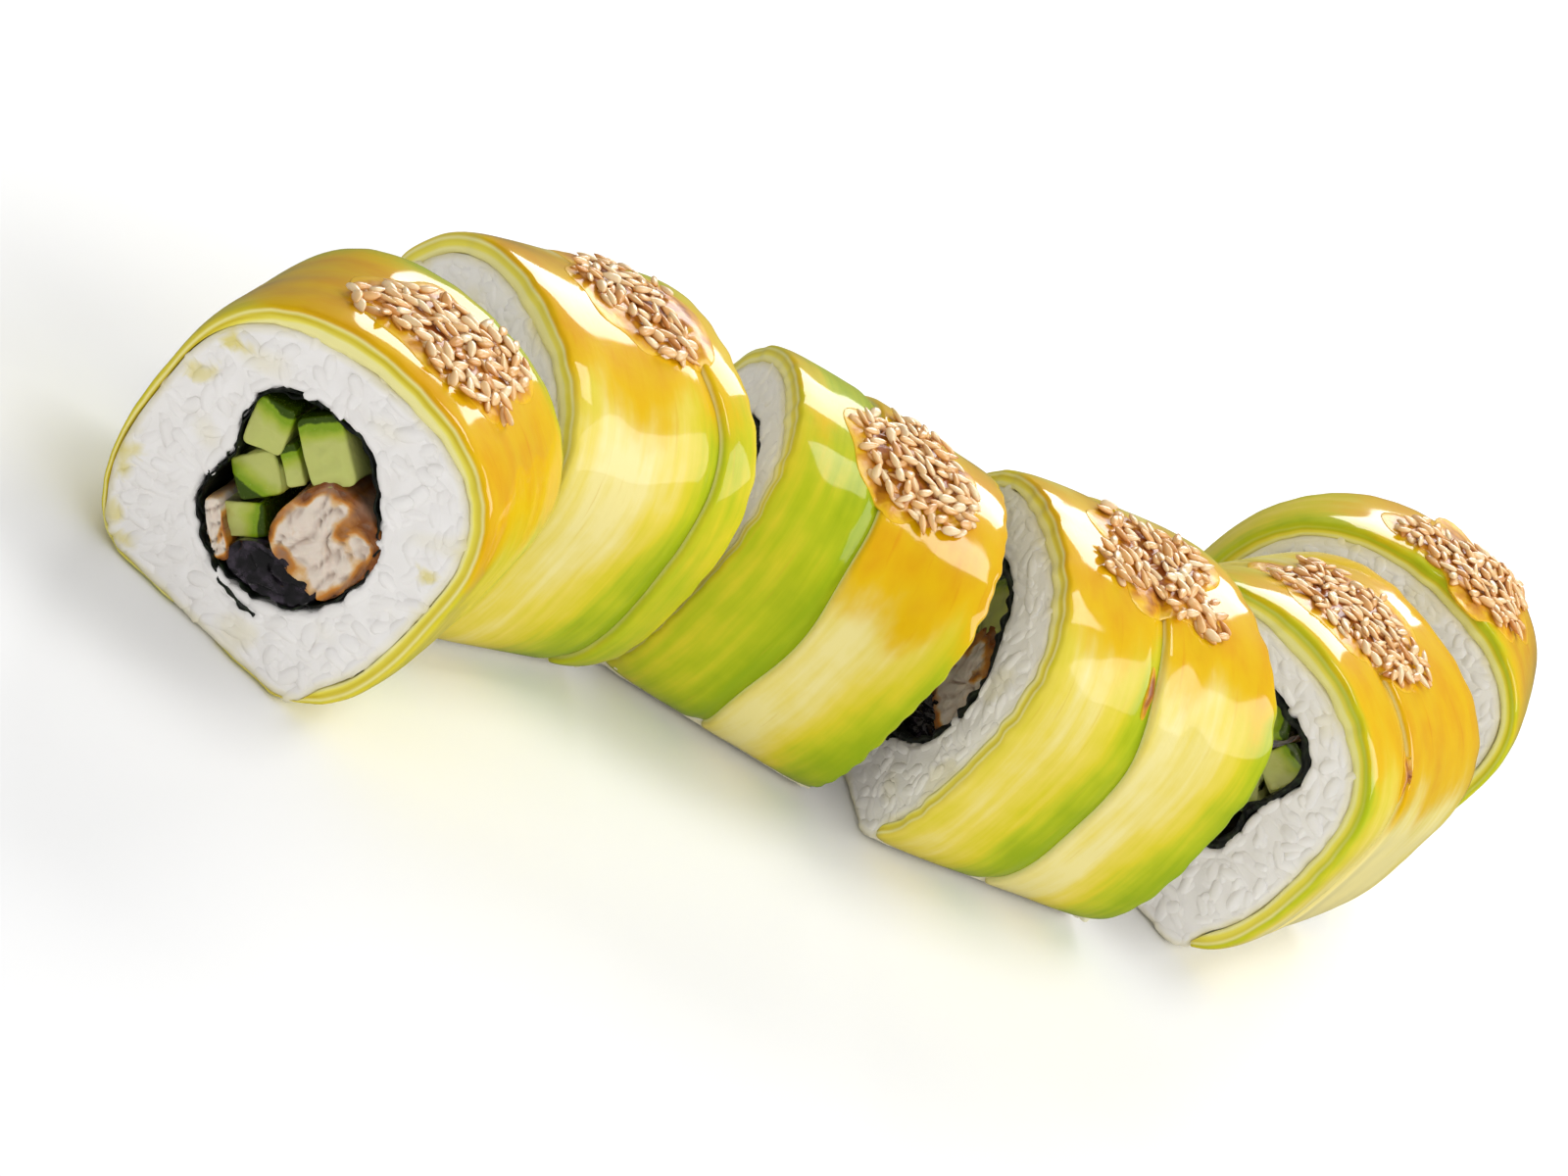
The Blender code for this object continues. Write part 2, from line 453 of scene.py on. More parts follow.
@dataclass(frozen=True)
class Finish:
    """A surface finish, made once and shared by every piece that wears it."""

    name: str = "finish"
    slot: Slot | None = None

    def material(self) -> bpy.types.Material:
        """The finish's material, drawn the first time it is asked for."""
        return bpy.data.materials.get(self.name) or self.draw(Graph(self.name))

    def draw(self, graph: Graph) -> bpy.types.Material:
        """Fill the finish's node tree; every finish has its own."""
        raise NotImplementedError


@dataclass(frozen=True)
class RiceFinish(Finish):
    """Cooked rice: milky grains with a faint sheen.

    Marks read: tone, from 0 to 1 for each grain and greyer in the core's deeper hollows as painted shade, and
    stain, the share of avocado rubbed on.
    """

    name: str = "cooked_rice"
    slot: Slot | None = Slot.RICE
    white: Colour = (0.95, 0.925, 0.90)
    grey_and_shade: Colour = (0.86, 0.83, 0.79)
    stain: Colour = (0.80, 0.70, 0.26)

    def draw(self, graph: Graph) -> bpy.types.Material:
        """Blend grain tone with the core's painted shade, soft clouds and avocado stains."""
        clouds = graph.noise(260.0)
        tone = graph.mark("tone") * 0.6 + clouds * 0.5
        # Painted shade: the grey colour is the grains' own greyer tone, and on the core it also darkens the
        # deeper hollows.
        colour = graph.mix(tone, self.white, self.grey_and_shade)
        stained = graph.mark("stain") * (0.4 + clouds * 1.1)
        colour = graph.mix(stained, colour, self.stain)
        return graph.surface(
            Base_Color=colour,
            Roughness=0.45,
            Specular_IOR_Level=0.30,
            Normal=graph.bump(graph.noise(1400.0, 3.0), 0.06),
        )


@dataclass(frozen=True)
class NoriFinish(Finish):
    """Toasted seaweed sheet: near black, faintly green, pitted."""

    name: str = "toasted_nori"
    slot: Slot | None = Slot.NORI
    dark: Colour = (0.004, 0.006, 0.004)
    green: Colour = (0.020, 0.032, 0.012)

    def draw(self, graph: Graph) -> bpy.types.Material:
        """Two dark tones over a pitted surface."""
        pits = graph.noise(900.0, 4.0)
        return graph.surface(
            Base_Color=graph.mix(pits.step(0.45, 0.75), self.dark, self.green),
            Roughness=0.38 + pits * 0.3,
            Normal=graph.bump(pits, 0.25),
        )


@dataclass(frozen=True)
class CucumberFinish(Finish):
    """Cucumber stick: dark rind, bright green under it, pale watery flesh.

    Marks read: rind, the distance from the rind in mm.
    """

    name: str = "fresh_cucumber"
    slot: Slot | None = Slot.CUCUMBER
    rind: Colour = (0.045, 0.085, 0.001)
    bright: Colour = (0.24, 0.38, 0.008)
    lime: Colour = (0.43, 0.51, 0.050)
    flesh: Colour = (0.57, 0.60, 0.17)
    depth: float = 8.0

    def draw(self, graph: Graph) -> bpy.types.Material:
        """Read the colour off the distance from the rind, with some veins."""
        veins = graph.noise(700.0, 3.0)
        deep = graph.mark("rind") * (1.0 / self.depth) + (veins - 0.5) * 0.10
        colour = graph.ramp(
            deep,
            (0.00, self.rind),
            (0.02, self.rind),
            (0.05, self.bright),
            (0.11, self.bright),
            (0.22, self.lime),
            (0.38, self.flesh),
        )
        pale = graph.noise(2600.0).step(0.62, 0.78) * 0.25
        return graph.surface(
            Base_Color=graph.mix(pale, colour, self.flesh),
            Roughness=0.22,
            Coat_Weight=0.4,
            Coat_Roughness=0.12,
            Subsurface_Weight=0.15,
            Subsurface_Radius=(0.6, 1.0, 0.3),
            Subsurface_Scale=0.0012,
            Normal=graph.bump(veins, 0.15),
        )


@dataclass(frozen=True)
class EelFinish(Finish):
    """Grilled eel: white flakes, orange-brown where it was basted.

    Marks read: brown, the share of basting, and the crease mark, the depth between flakes, where a darker
    pinkish brown is painted in as shade.
    """

    name: str = "grilled_eel"
    slot: Slot | None = Slot.EEL
    white: Colour = (0.85, 0.73, 0.61)
    tan: Colour = (0.78, 0.50, 0.22)
    orange: Colour = (0.64, 0.24, 0.022)
    brown: Colour = (0.22, 0.065, 0.010)
    # Painted shade colour for the creases between flakes.
    crease_shade: Colour = (0.44, 0.28, 0.19)

    def draw(self, graph: Graph) -> bpy.types.Material:
        """Blend flake and basting colours, and paint shade into the creases."""
        clouds = graph.noise(620.0, 4.0)
        baste = graph.mark("brown") + (clouds - 0.5) * 0.5
        colour = graph.ramp(
            baste, (0.22, self.white), (0.40, self.tan), (0.58, self.orange), (1.0, self.brown)
        )
        # Painted shade: the creases between flakes are darkened to a pinkish brown.
        colour = graph.mix(graph.mark("crease_shade") * 0.75, colour, self.crease_shade)
        return graph.surface(
            Base_Color=colour,
            Roughness=0.42 - graph.mark("brown") * 0.15,
            Coat_Weight=0.3,
            Coat_Roughness=0.2,
            Subsurface_Weight=0.2,
            Subsurface_Radius=(1.0, 0.6, 0.4),
            Subsurface_Scale=0.001,
            Normal=graph.bump(clouds, 0.3),
        )


@dataclass(frozen=True)
class EelSkinFinish(Finish):
    """Eel skin: wet and dark, with a violet sheen painted into its colour."""

    name: str = "wet_eel_skin"
    slot: Slot | None = Slot.EEL_SKIN
    dark: Colour = (0.006, 0.005, 0.006)
    violet_sheen: Colour = (0.060, 0.045, 0.065)

    def draw(self, graph: Graph) -> bpy.types.Material:
        """Violet clouds over black as a painted sheen, under a wet coat."""
        clouds = graph.noise(500.0, 3.0)
        return graph.surface(
            # Painted sheen: the violet clouds stand in for violet highlights on the wet skin; the black is
            # its own colour.
            Base_Color=graph.mix(clouds.step(0.45, 0.75), self.dark, self.violet_sheen),
            Roughness=0.25,
            Coat_Weight=0.8,
            Coat_Roughness=0.1,
            Normal=graph.bump(clouds, 0.35),
        )


@dataclass(frozen=True)
class AvocadoFinish(Finish):
    """Ripe avocado under a thin amber glaze.

    Marks read: ripe, from 0 cream to 1 green; glaze, from 0 to 1; girth and across, the place
    on the strip in mm; depth, the distance below the outer face in mm; line, the share of the
    coloured line that runs inside a cut rim.
    """

    name: str = "ripe_avocado"
    slot: Slot | None = Slot.AVOCADO
    cream: Colour = (0.86, 0.75, 0.30)
    butter: Colour = (0.80, 0.65, 0.09)
    yellow: Colour = (0.70, 0.60, 0.025)
    lime: Colour = (0.48, 0.53, 0.012)
    green: Colour = (0.33, 0.43, 0.005)
    skin_green: Colour = (0.26, 0.39, 0.003)
    amber: Colour = (0.78, 0.48, 0.001)
    honey: Colour = (0.73, 0.34, 0.001)
    streak: Colour = (0.66, 0.42, 0.03)
    # Pale rim colour: a painted highlight along the cut rim's outer edge, and the pale inner border of the
    # rim.
    rim_pale_and_highlight: Colour = (0.92, 0.85, 0.36)
    rim: Colour = (0.90, 0.80, 0.11)
    rim_line: Colour = (0.62, 0.46, 0.008)

    def draw(self, graph: Graph) -> bpy.types.Material:
        """Flesh by ripeness, long streaks, amber where the glaze lies, and a paler cut rim with a painted
        highlight along its outer edge.
        """
        girth, across = graph.mark("girth"), graph.mark("across")
        clouds = graph.noise(150.0, 3.0)
        along = graph.noise(1.0, 3.0, graph.vector(girth * 0.05, across * 0.55, 0.0))
        ripe = graph.mark("ripe") + (along - 0.5) * 0.46 + (clouds - 0.5) * 0.34
        flesh = graph.ramp(
            ripe,
            (0.02, self.cream),
            (0.25, self.butter),
            (0.45, self.yellow),
            (0.64, self.lime),
            (0.82, self.green),
            (1.00, self.skin_green),
        )
        fibre = graph.noise(1.0, 4.0, graph.vector(girth * 0.09, across * 1.3, 7.0))
        flesh = graph.mix(fibre.step(0.62, 0.80) * 0.40, flesh, self.streak)
        spread = graph.noise(1.0, 3.0, graph.vector(girth * 0.13, across * 0.24, 3.0))
        glaze = graph.mark("glaze") + (spread - 0.5) * 1.0 * graph.mark("glaze").step(0.02, 0.4)
        amber = graph.mix(glaze.step(0.75, 1.25) * 0.8 + fibre.step(0.60, 0.78) * 0.5, self.amber, self.honey)
        colour = graph.mix(glaze.step(0.10, 0.85), flesh, amber)
        deep = graph.mark("depth") + (clouds - 0.5) * 0.5
        # Painted highlight: pale colour just below the outer face stands in for light on the cut rim's
        # rounded edge; the same pale colour lines the rim's inner border.
        cut = graph.mix(deep.step(0.7, 1.2) * (1.0 - deep.step(1.7, 2.3)), self.rim_pale_and_highlight, self.rim)
        cut = graph.mix(graph.mark("line"), cut, self.rim_line)
        outer = graph.mark("ripe").step(0.45, 0.75) * (1.0 - deep.step(0.9, 1.5) * 0.8)
        cut = graph.mix(outer, cut, self.lime)
        colour = graph.mix(deep.step(0.25, 0.75), colour, cut)
        pores = graph.noise(900.0, 2.0) * 0.5 + fibre * 0.5
        return graph.surface(
            Base_Color=colour,
            Roughness=0.45,
            Specular_IOR_Level=0.05,
            Coat_Weight=0.45 + graph.mark("glaze") * 0.5,
            Coat_Roughness=0.075,
            Coat_IOR=1.45,
            Normal=graph.bump(pores, 0.06),
        )


@dataclass(frozen=True)
class SauceFinish(Finish):
    """Sweet soy sauce: amber where thin, reddish brown where it pools.

    Marks read: pool, the share of the full depth.
    """

    name: str = "sauce"
    thin: Colour = (0.84, 0.50, 0.006)
    middle: Colour = (0.66, 0.28, 0.010)
    thick: Colour = (0.30, 0.075, 0.010)

    def draw(self, graph: Graph) -> bpy.types.Material:
        """Colour by depth, with dark spots, under a thin coat that the seeds break up."""
        clouds = graph.noise(420.0, 3.0)
        pool = graph.mark("pool") + (clouds - 0.5) * 1.5
        colour = graph.ramp(pool, (0.15, self.thin), (0.55, self.middle), (1.0, self.thick))
        return graph.surface(
            Base_Color=colour,
            Roughness=0.40,
            Specular_IOR_Level=0.25,
            Coat_Weight=0.35,
            Coat_Roughness=0.12,
            Normal=graph.bump(clouds, 0.30),
        )


@dataclass(frozen=True)
class SesameFinish(Finish):
    """Toasted sesame under a little sauce.

    Marks read: tone, from 0 to 1 for each seed; tip, the share of the way to its point; and
    wet, the share of sauce on its lower half.
    """

    name: str = "sesame"
    pale: Colour = (0.93, 0.71, 0.42)
    tan: Colour = (0.86, 0.50, 0.19)
    toasted: Colour = (0.62, 0.27, 0.07)
    sauce: Colour = (0.64, 0.25, 0.012)

    def draw(self, graph: Graph) -> bpy.types.Material:
        """Each seed has its own roast, darker at the point."""
        tone = graph.mark("tone") + graph.mark("tip") ** 3.0 * 0.25
        tone = tone + (graph.noise(900.0) - 0.5) * 0.25
        colour = graph.ramp(tone, (0.1, self.pale), (0.6, self.tan), (1.0, self.toasted))
        colour = graph.mix(graph.mark("wet"), colour, self.sauce)
        return graph.surface(
            Base_Color=colour,
            Roughness=0.35,
            Coat_Weight=0.5,
            Coat_Roughness=0.15,
            Subsurface_Weight=0.2,
            Subsurface_Radius=(1.0, 0.6, 0.3),
            Subsurface_Scale=0.0008,
            Normal=graph.bump(graph.noise(2400.0), 0.05),
        )


@dataclass(frozen=True)
class TableFinish(Finish):
    """Plain matt white table."""

    name: str = "table"
    white: Colour = (0.96, 0.96, 0.96)
    shade: Colour = (0.95, 0.95, 0.95)

    def draw(self, graph: Graph) -> bpy.types.Material:
        """White with the faintest grain."""
        colour = graph.mix(graph.noise(40.0), self.white, self.shade)
        return graph.surface(Base_Color=colour, Roughness=0.7, Specular_IOR_Level=0.2)


# ---------------------------------------------------------------- the roll's shape


@dataclass(frozen=True)
class Outline:
    """Cross-section of a slice: two half superellipses meeting at the waist, flat below.

    u = half width * sign(c) |c|^(2/n) and v = waist + rise * sign(s) |s|^(2/n), for the cosine
    c and sine s of an angle, with one power n above the waist and another below it. The sway
    carries the crown to the right of the base, and what lies between in proportion.
    """

    size: float = 1.0
    sway: float = 0.0
    half_width: float = 24.0
    height: float = 47.7
    waist: float = 27.0
    crown_power: float = 2.28
    base_power: float = 3.33
    base_reach: float = 1.05
    strip_reach: float = 144.0
    strip_fade: float = 16.0
    strip_depth: float = 2.7
    strip_end_depth: float = 1.0
    steps: int = 900

    def by_angle(self, from_crown: Array) -> Array:
        """Points (u, v) at angles in degrees from the crown, positive to the right."""
        angle = np.radians(90.0 - from_crown)
        c, s = np.cos(angle), np.sin(angle)
        power = 2.0 / np.where(s > 0.0, self.crown_power, self.base_power)
        rise = np.where(s > 0.0, self.height - self.waist, self.waist * self.base_reach)
        u = self.half_width * np.sign(c) * np.abs(c) ** power
        v = np.maximum(self.waist + rise * np.sign(s) * np.abs(s) ** power, 0.0)
        return np.stack([u * self.size + self.sway * v / self.height, v * self.size], -1)

    def table(self) -> tuple[Array, Array]:
        """Angles from the crown and the girth at each of them."""
        angle = np.linspace(0.0, 180.0, self.steps)
        steps = np.linalg.norm(np.diff(self.by_angle(angle), axis=0), axis=1)
        return angle, np.concatenate([[0.0], np.cumsum(steps)])

    def angle(self, girth: Array) -> Array:
        """Degrees from the crown at a girth."""
        angle, reach = self.table()
        return np.sign(girth) * np.interp(np.abs(girth), reach, angle)

    def girth(self, from_crown: float) -> float:
        """Girth at an angle in degrees from the crown."""
        angle, reach = self.table()
        return float(np.interp(from_crown, angle, reach))

    def point(self, girth: Array) -> Array:
        """Points (u, v) at a girth."""
        return self.by_angle(self.angle(girth))

    def outward(self, girth: Array, step: float = 0.6) -> Array:
        """Unit vectors square to the outline: its tangent turned a quarter turn."""
        tangent = self.point(girth + step) - self.point(girth - step)
        tangent /= np.linalg.norm(tangent, axis=-1, keepdims=True)
        return np.stack([-tangent[..., 1], tangent[..., 0]], -1)

    def depth(self, girth: Array) -> Array:
        """Depth of the avocado at a girth, fading towards the strips' lower ends."""
        left = self.strip_reach - np.abs(self.angle(girth))
        fade = np.clip(left / self.strip_fade, 0.0, 1.0)
        full = self.strip_end_depth + (self.strip_depth - self.strip_end_depth) * fade * (2.0 - fade)
        return np.where(left > 0.0, full, 0.0)


@dataclass(frozen=True)
class Tube:
    """The hole in the rice: eight radii joined by cosine blends, the first pointing right."""

    centre: tuple[float, float] = (0.0, 22.0)
    radii: tuple[float, ...] = (13.1, 12.3, 14.3, 15.8, 10.6, 13.2, 13.9, 13.8)

    def radius(self, angle: Array) -> Array:
        """Radius at an angle in radians, anticlockwise from the right."""
        turn = (angle / math.tau % 1.0) * len(self.radii)
        low = turn.astype(int) % len(self.radii)
        blend = (1.0 - np.cos(math.pi * (turn - np.floor(turn)))) / 2.0
        radii = np.array(self.radii)
        return radii[low] * (1.0 - blend) + radii[(low + 1) % len(radii)] * blend


@dataclass(frozen=True)
class StripLook:
    """Colouring of one avocado strip.

    Attributes:
        crown: Ripeness over the crown at even steps from the front edge to the back edge, 0
            for cream and 1 for green.
        side: Ripeness half way down a side.
        low: Ripeness near the table.
        glaze: Amber glaze: reach left and right of the crown in mm, and strength.
        rim_line: Strength of the dark line inside the cut rim.
    """

    crown: tuple[float, ...]
    side: tuple[float, ...]
    low: tuple[float, ...]
    glaze: tuple[float, float, float] = (14.0, 16.0, 1.0)
    rim_line: float = 0.4
    girths: tuple[float, float, float] = (4.0, 26.0, 50.0)

    def ripe(self, girth: Array, across: Array) -> Array:
        """Ripeness at a girth and a share of the way across, blended between the three rows."""
        steps = np.linspace(0.0, 1.0, len(self.crown))
        crown, side, low = (np.interp(across, steps, row) for row in (self.crown, self.side, self.low))
        start, middle, end = self.girths
        down = np.clip((np.abs(girth) - start) / (middle - start), 0.0, 1.0)
        lower = np.clip((np.abs(girth) - middle) / (end - middle), 0.0, 1.0)
        return crown + (side - crown) * down + (low - side) * lower


@dataclass(frozen=True)
class SliceLook:
    """What sets one slice apart from the others.

    Attributes:
        strips: Colouring of its avocado strips, front to back.
        seams: Place of each seam at the crown as a share of the depth, and its lean.
        mirrored: Whether its filling is turned left for right.
        raised: Height of its filling above the usual, in mm.
        lowered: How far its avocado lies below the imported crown, in mm.
        seeds: Sesame patch: middle girth and place along the depth, and half sizes of both.
        seed_count: Number of seeds.
        drips: Runs of sauce: girth, share of the depth, half length, half breadth and lean.
        smears: Avocado rubbed on the rice of the front cut: place (u, v) and reach.
    """

    strips: tuple[StripLook, ...]
    seams: tuple[tuple[float, float], ...] = ()
    mirrored: bool = False
    raised: float = 0.0
    lowered: float = 0.0
    seeds: tuple[float, float, float, float] = (0.0, 0.0, 11.0, 7.0)
    seed_count: int = 150
    drips: tuple[tuple[float, float, float, float, float], ...] = ()
    smears: tuple[tuple[float, float, float], ...] = ()


SLICE_LOOKS = (
    SliceLook(
        strips=(
            StripLook(
                (0.42, 0.40, 0.44, 0.56, 0.80), (0.42, 0.38, 0.36, 0.52, 0.66),
                (0.45, 0.42, 0.45, 0.56, 0.62), (24.0, 27.0, 1.0), 0.9,
            ),
        ),
        seeds=(0.8, 0.0, 10.5, 9.0),
        seed_count=165,
        smears=((-16.6, 3.3, 2.4), (-20.2, 11.2, 2.6), (-18.2, 33.0, 1.8), (-19.3, 26.0, 2.0),
                (-14.1, 2.2, 1.8), (17.8, 26.4, 1.2)),
    ),
    SliceLook(
        strips=(
            StripLook(
                (0.35, 0.30, 0.30, 0.35, 0.55), (0.24, 0.00, -0.05, 0.30, 0.78),
                (0.36, 0.18, 0.38, 0.74, 0.92), (15.0, 14.0, 1.0), 0.3,
            ),
            StripLook(
                (0.45, 0.50, 0.50, 0.45, 0.42), (0.58, 0.58, 0.60, 0.52, 0.42),
                (0.60, 0.58, 0.60, 0.60, 0.58), (12.0, 12.0, 0.6), 0.3,
            ),
        ),
        seams=((0.76, 0.04),),
        seeds=(-5.0, 0.05, 9.5, 9.0),
    ),
    SliceLook(
        strips=(
            StripLook(
                (0.50, 0.60, 0.68, 0.74, 0.76), (0.54, 0.60, 0.64, 0.72, 0.82),
                (0.55, 0.60, 0.64, 0.76, 0.88), (10.0, 8.0, 0.55), 0.5,
            ),
            StripLook(
                (0.30, 0.20, 0.20, 0.25, 0.45), (0.12, 0.04, 0.08, 0.30, 0.62),
                (0.05, 0.05, 0.36, 0.74, 0.90), (10.0, 25.0, 1.0), 0.3,
            ),
        ),
        seams=((0.40, 0.06),),
        mirrored=True,
        raised=2.0,
        seeds=(2.5, 0.04, 8.5, 8.5),
        seed_count=125,
    ),
    SliceLook(
        strips=(
            StripLook(
                (0.38, 0.30, 0.25, 0.30, 0.45), (0.36, 0.12, 0.16, 0.40, 0.80),
                (0.28, 0.22, 0.42, 0.74, 0.90), (12.0, 17.0, 1.0), 0.7,
            ),
            StripLook(
                (0.20, 0.20, 0.20, 0.28, 0.45), (0.12, 0.08, 0.14, 0.40, 0.85),
                (0.05, 0.08, 0.34, 0.74, 0.86), (10.0, 18.0, 1.0), 0.4,
            ),
        ),
        seams=((0.44, 0.08),),
        raised=1.0,
        seeds=(1.0, 0.03, 9.5, 10.0),
        drips=((22.0, 0.42, 3.4, 0.9, 0.05),),
    ),
    SliceLook(
        strips=(
            StripLook(
                (0.66, 0.42, 0.35, 0.30, 0.30), (0.68, 0.36, 0.30, 0.28, 0.32),
                (0.50, 0.12, 0.02, 0.02, 0.05), (14.0, 22.0, 0.9), 0.5,
            ),
            StripLook(
                (0.20, 0.20, 0.20, 0.20, 0.25), (0.12, 0.08, 0.08, 0.15, 0.25),
                (-0.15, -0.15, -0.10, 0.0, 0.15), (16.0, 27.0, 1.0), 0.3,
            ),
        ),
        seams=((0.34, -0.06),),
        mirrored=True,
        raised=2.0,
        seeds=(-3.0, -0.04, 11.0, 9.5),
        drips=((22.5, 0.29, 3.6, 1.1, -0.2),),
    ),
    SliceLook(
        strips=(
            StripLook(
                (0.74, 0.52, 0.36, 0.40, 0.50), (0.66, 0.45, 0.35, 0.42, 0.55),
                (0.60, 0.42, 0.35, 0.42, 0.55), (18.0, 24.0, 1.0), 1.0,
            ),
        ),
        raised=1.0,
        lowered=0.6,
        seeds=(2.0, 0.0, 11.0, 8.0),
    ),
)


@dataclass(frozen=True)
class Cut:
    """One slice as packed: where it lies, how its two cuts are turned, and its shape."""

    number: int
    middle: tuple[float, float]
    turn: float
    front_slope: float
    back_slope: float
    depth: float
    outline: Outline
    look: SliceLook

    @classmethod
    def read(cls, number: int, look: SliceLook) -> Cut:
        """Work a slice's place out from the flat faces of its packed rice.

        The faces that look most along the row are the two cuts. Each gives a plane, and the
        slice's axis lies midway between the two planes' directions.

        Args:
            number: Number of the slice, from 1.
            look: What sets the slice apart.

        Returns:
            The slice.
        """
        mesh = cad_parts[f"rice_{number}"].data
        count = len(mesh.polygons)
        normal, centre, area = np.empty(count * 3), np.empty(count * 3), np.empty(count)
        mesh.polygons.foreach_get("normal", normal)
        mesh.polygons.foreach_get("center", centre)
        mesh.polygons.foreach_get("area", area)
        normal, centre = normal.reshape(-1, 3), centre.reshape(-1, 3) / MM
        planes = []
        for side in (-1.0, 1.0):
            chosen = normal[:, 0] * side > 0.7
            facing = (normal[chosen] * area[chosen, None]).sum(0)[:2]
            facing /= np.linalg.norm(facing)
            reach = float(np.average(centre[chosen][:, :2] @ facing, weights=area[chosen]))
            planes.append((facing * side, reach * side))
        turns = [math.atan2(facing[1], facing[0]) for facing, _ in planes]
        turn = sum(turns) / 2.0
        axis = np.array([math.cos(turn), math.sin(turn)])
        left = np.array([-axis[1], axis[0]])
        corners = np.empty(len(mesh.vertices) * 3)
        mesh.vertices.foreach_get("co", corners)
        corners = corners.reshape(-1, 3) / MM
        beside, up = corners[:, :2] @ left, corners[:, 2]
        aside = (beside[up < 0.5].min() + beside[up < 0.5].max()) / 2.0
        crown = beside[up > up.max() - 0.05].mean()
        ends = [(reach - aside * (facing @ left)) / (facing @ axis) for facing, reach in planes]
        middle = axis * (ends[0] + ends[1]) / 2.0 + left * aside
        tops = [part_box(f"avocado_{number}_{k + 1}")[1].z for k in range(len(look.strips))]
        size = max(tops) / MM / Outline().height
        slopes = [math.tan(each - turn) for each in turns]
        place = (float(middle[0]), float(middle[1]))
        sway = float((aside - crown) * Outline().height * size / up.max())
        return cls(number, place, turn, *slopes, float(ends[1] - ends[0]), Outline(size, sway), look)

    def cut(self, u: Array, share: Array | float) -> Array:
        """Place along the axis at a share of the way between the two cuts."""
        front = -self.depth / 2.0 + u * self.front_slope
        back = self.depth / 2.0 + u * self.back_slope
        return front + share * (back - front)

    def world(self, u: Array, v: Array, x: Array) -> Array:
        """Points on the table, in mm, from slice coordinates."""
        c, s = math.cos(self.turn), math.sin(self.turn)
        u, v, x = np.broadcast_arrays(u, v, x)
        across, along = self.middle[0] + x * c + u * s, self.middle[1] + x * s - u * c
        return np.stack([across, along, v], -1)

    def table_directions(self, vectors: Array) -> Array:
        """Turn directions (u, v, x) of the slice into directions on the table."""
        c, s = math.cos(self.turn), math.sin(self.turn)
        u, v, x = np.moveaxis(vectors, -1, 0)
        return np.stack([x * c + u * s, x * s - u * c, v], -1)

    @property
    def side(self) -> float:
        """-1 for a slice whose filling is turned left for right, else 1."""
        return -1.0 if self.look.mirrored else 1.0

    @property
    def hub(self) -> Array:
        """Middle of the nori tube (u, v)."""
        u, v = Tube().centre
        v = v + self.look.raised
        return np.array([u * self.side * self.outline.size + self.outline.sway * v / self.outline.height,
                         v * self.outline.size])

    def hole(self, angle: Array) -> Array:
        """Radius of the hole in the rice round the hub at an angle in radians."""
        turned = math.pi - angle if self.look.mirrored else angle
        return Tube().radius(turned) * self.outline.size

    def rim(self, angle: Array) -> Array:
        """Distance from the hub to the inner face of the avocado, or to the bare outline.

        The outline is walked once round, moved inwards by the avocado's depth, and its
        distances are read off by direction from the hub.
        """
        outline = self.outline
        girth = np.linspace(-1.0, 1.0, 721)[:-1] * outline.girth(180.0)
        inner = outline.point(girth) - outline.outward(girth) * self.avocado_depth(girth)[:, None]
        inner[:, 1] = np.maximum(inner[:, 1], 0.4)
        spoke = inner - self.hub
        direction = np.arctan2(spoke[:, 1], spoke[:, 0])
        order = np.argsort(direction)
        reach = np.linalg.norm(spoke, axis=1)[order]
        wrapped = (angle + math.pi) % math.tau - math.pi
        return np.interp(wrapped, direction[order], reach, period=math.tau)

    def avocado_depth(self, girth: Array) -> Array:
        """Depth of the avocado: thicker over the crown, thin on the first slice's left and base."""
        depth = self.outline.depth(girth)
        if self.number > 1:
            return depth * (1.0 + 0.36 * np.exp(-(((girth - 6.0) / 24.0) ** 2)))
        depth = depth * (0.92 + 0.50 * np.exp(-(((girth + 5.0) / 17.0) ** 2)))
        return np.maximum(depth * (1.0 - 0.5 * smooth(-14.0, -36.0, girth)), 0.62)


# ---------------------------------------------------------------- rice


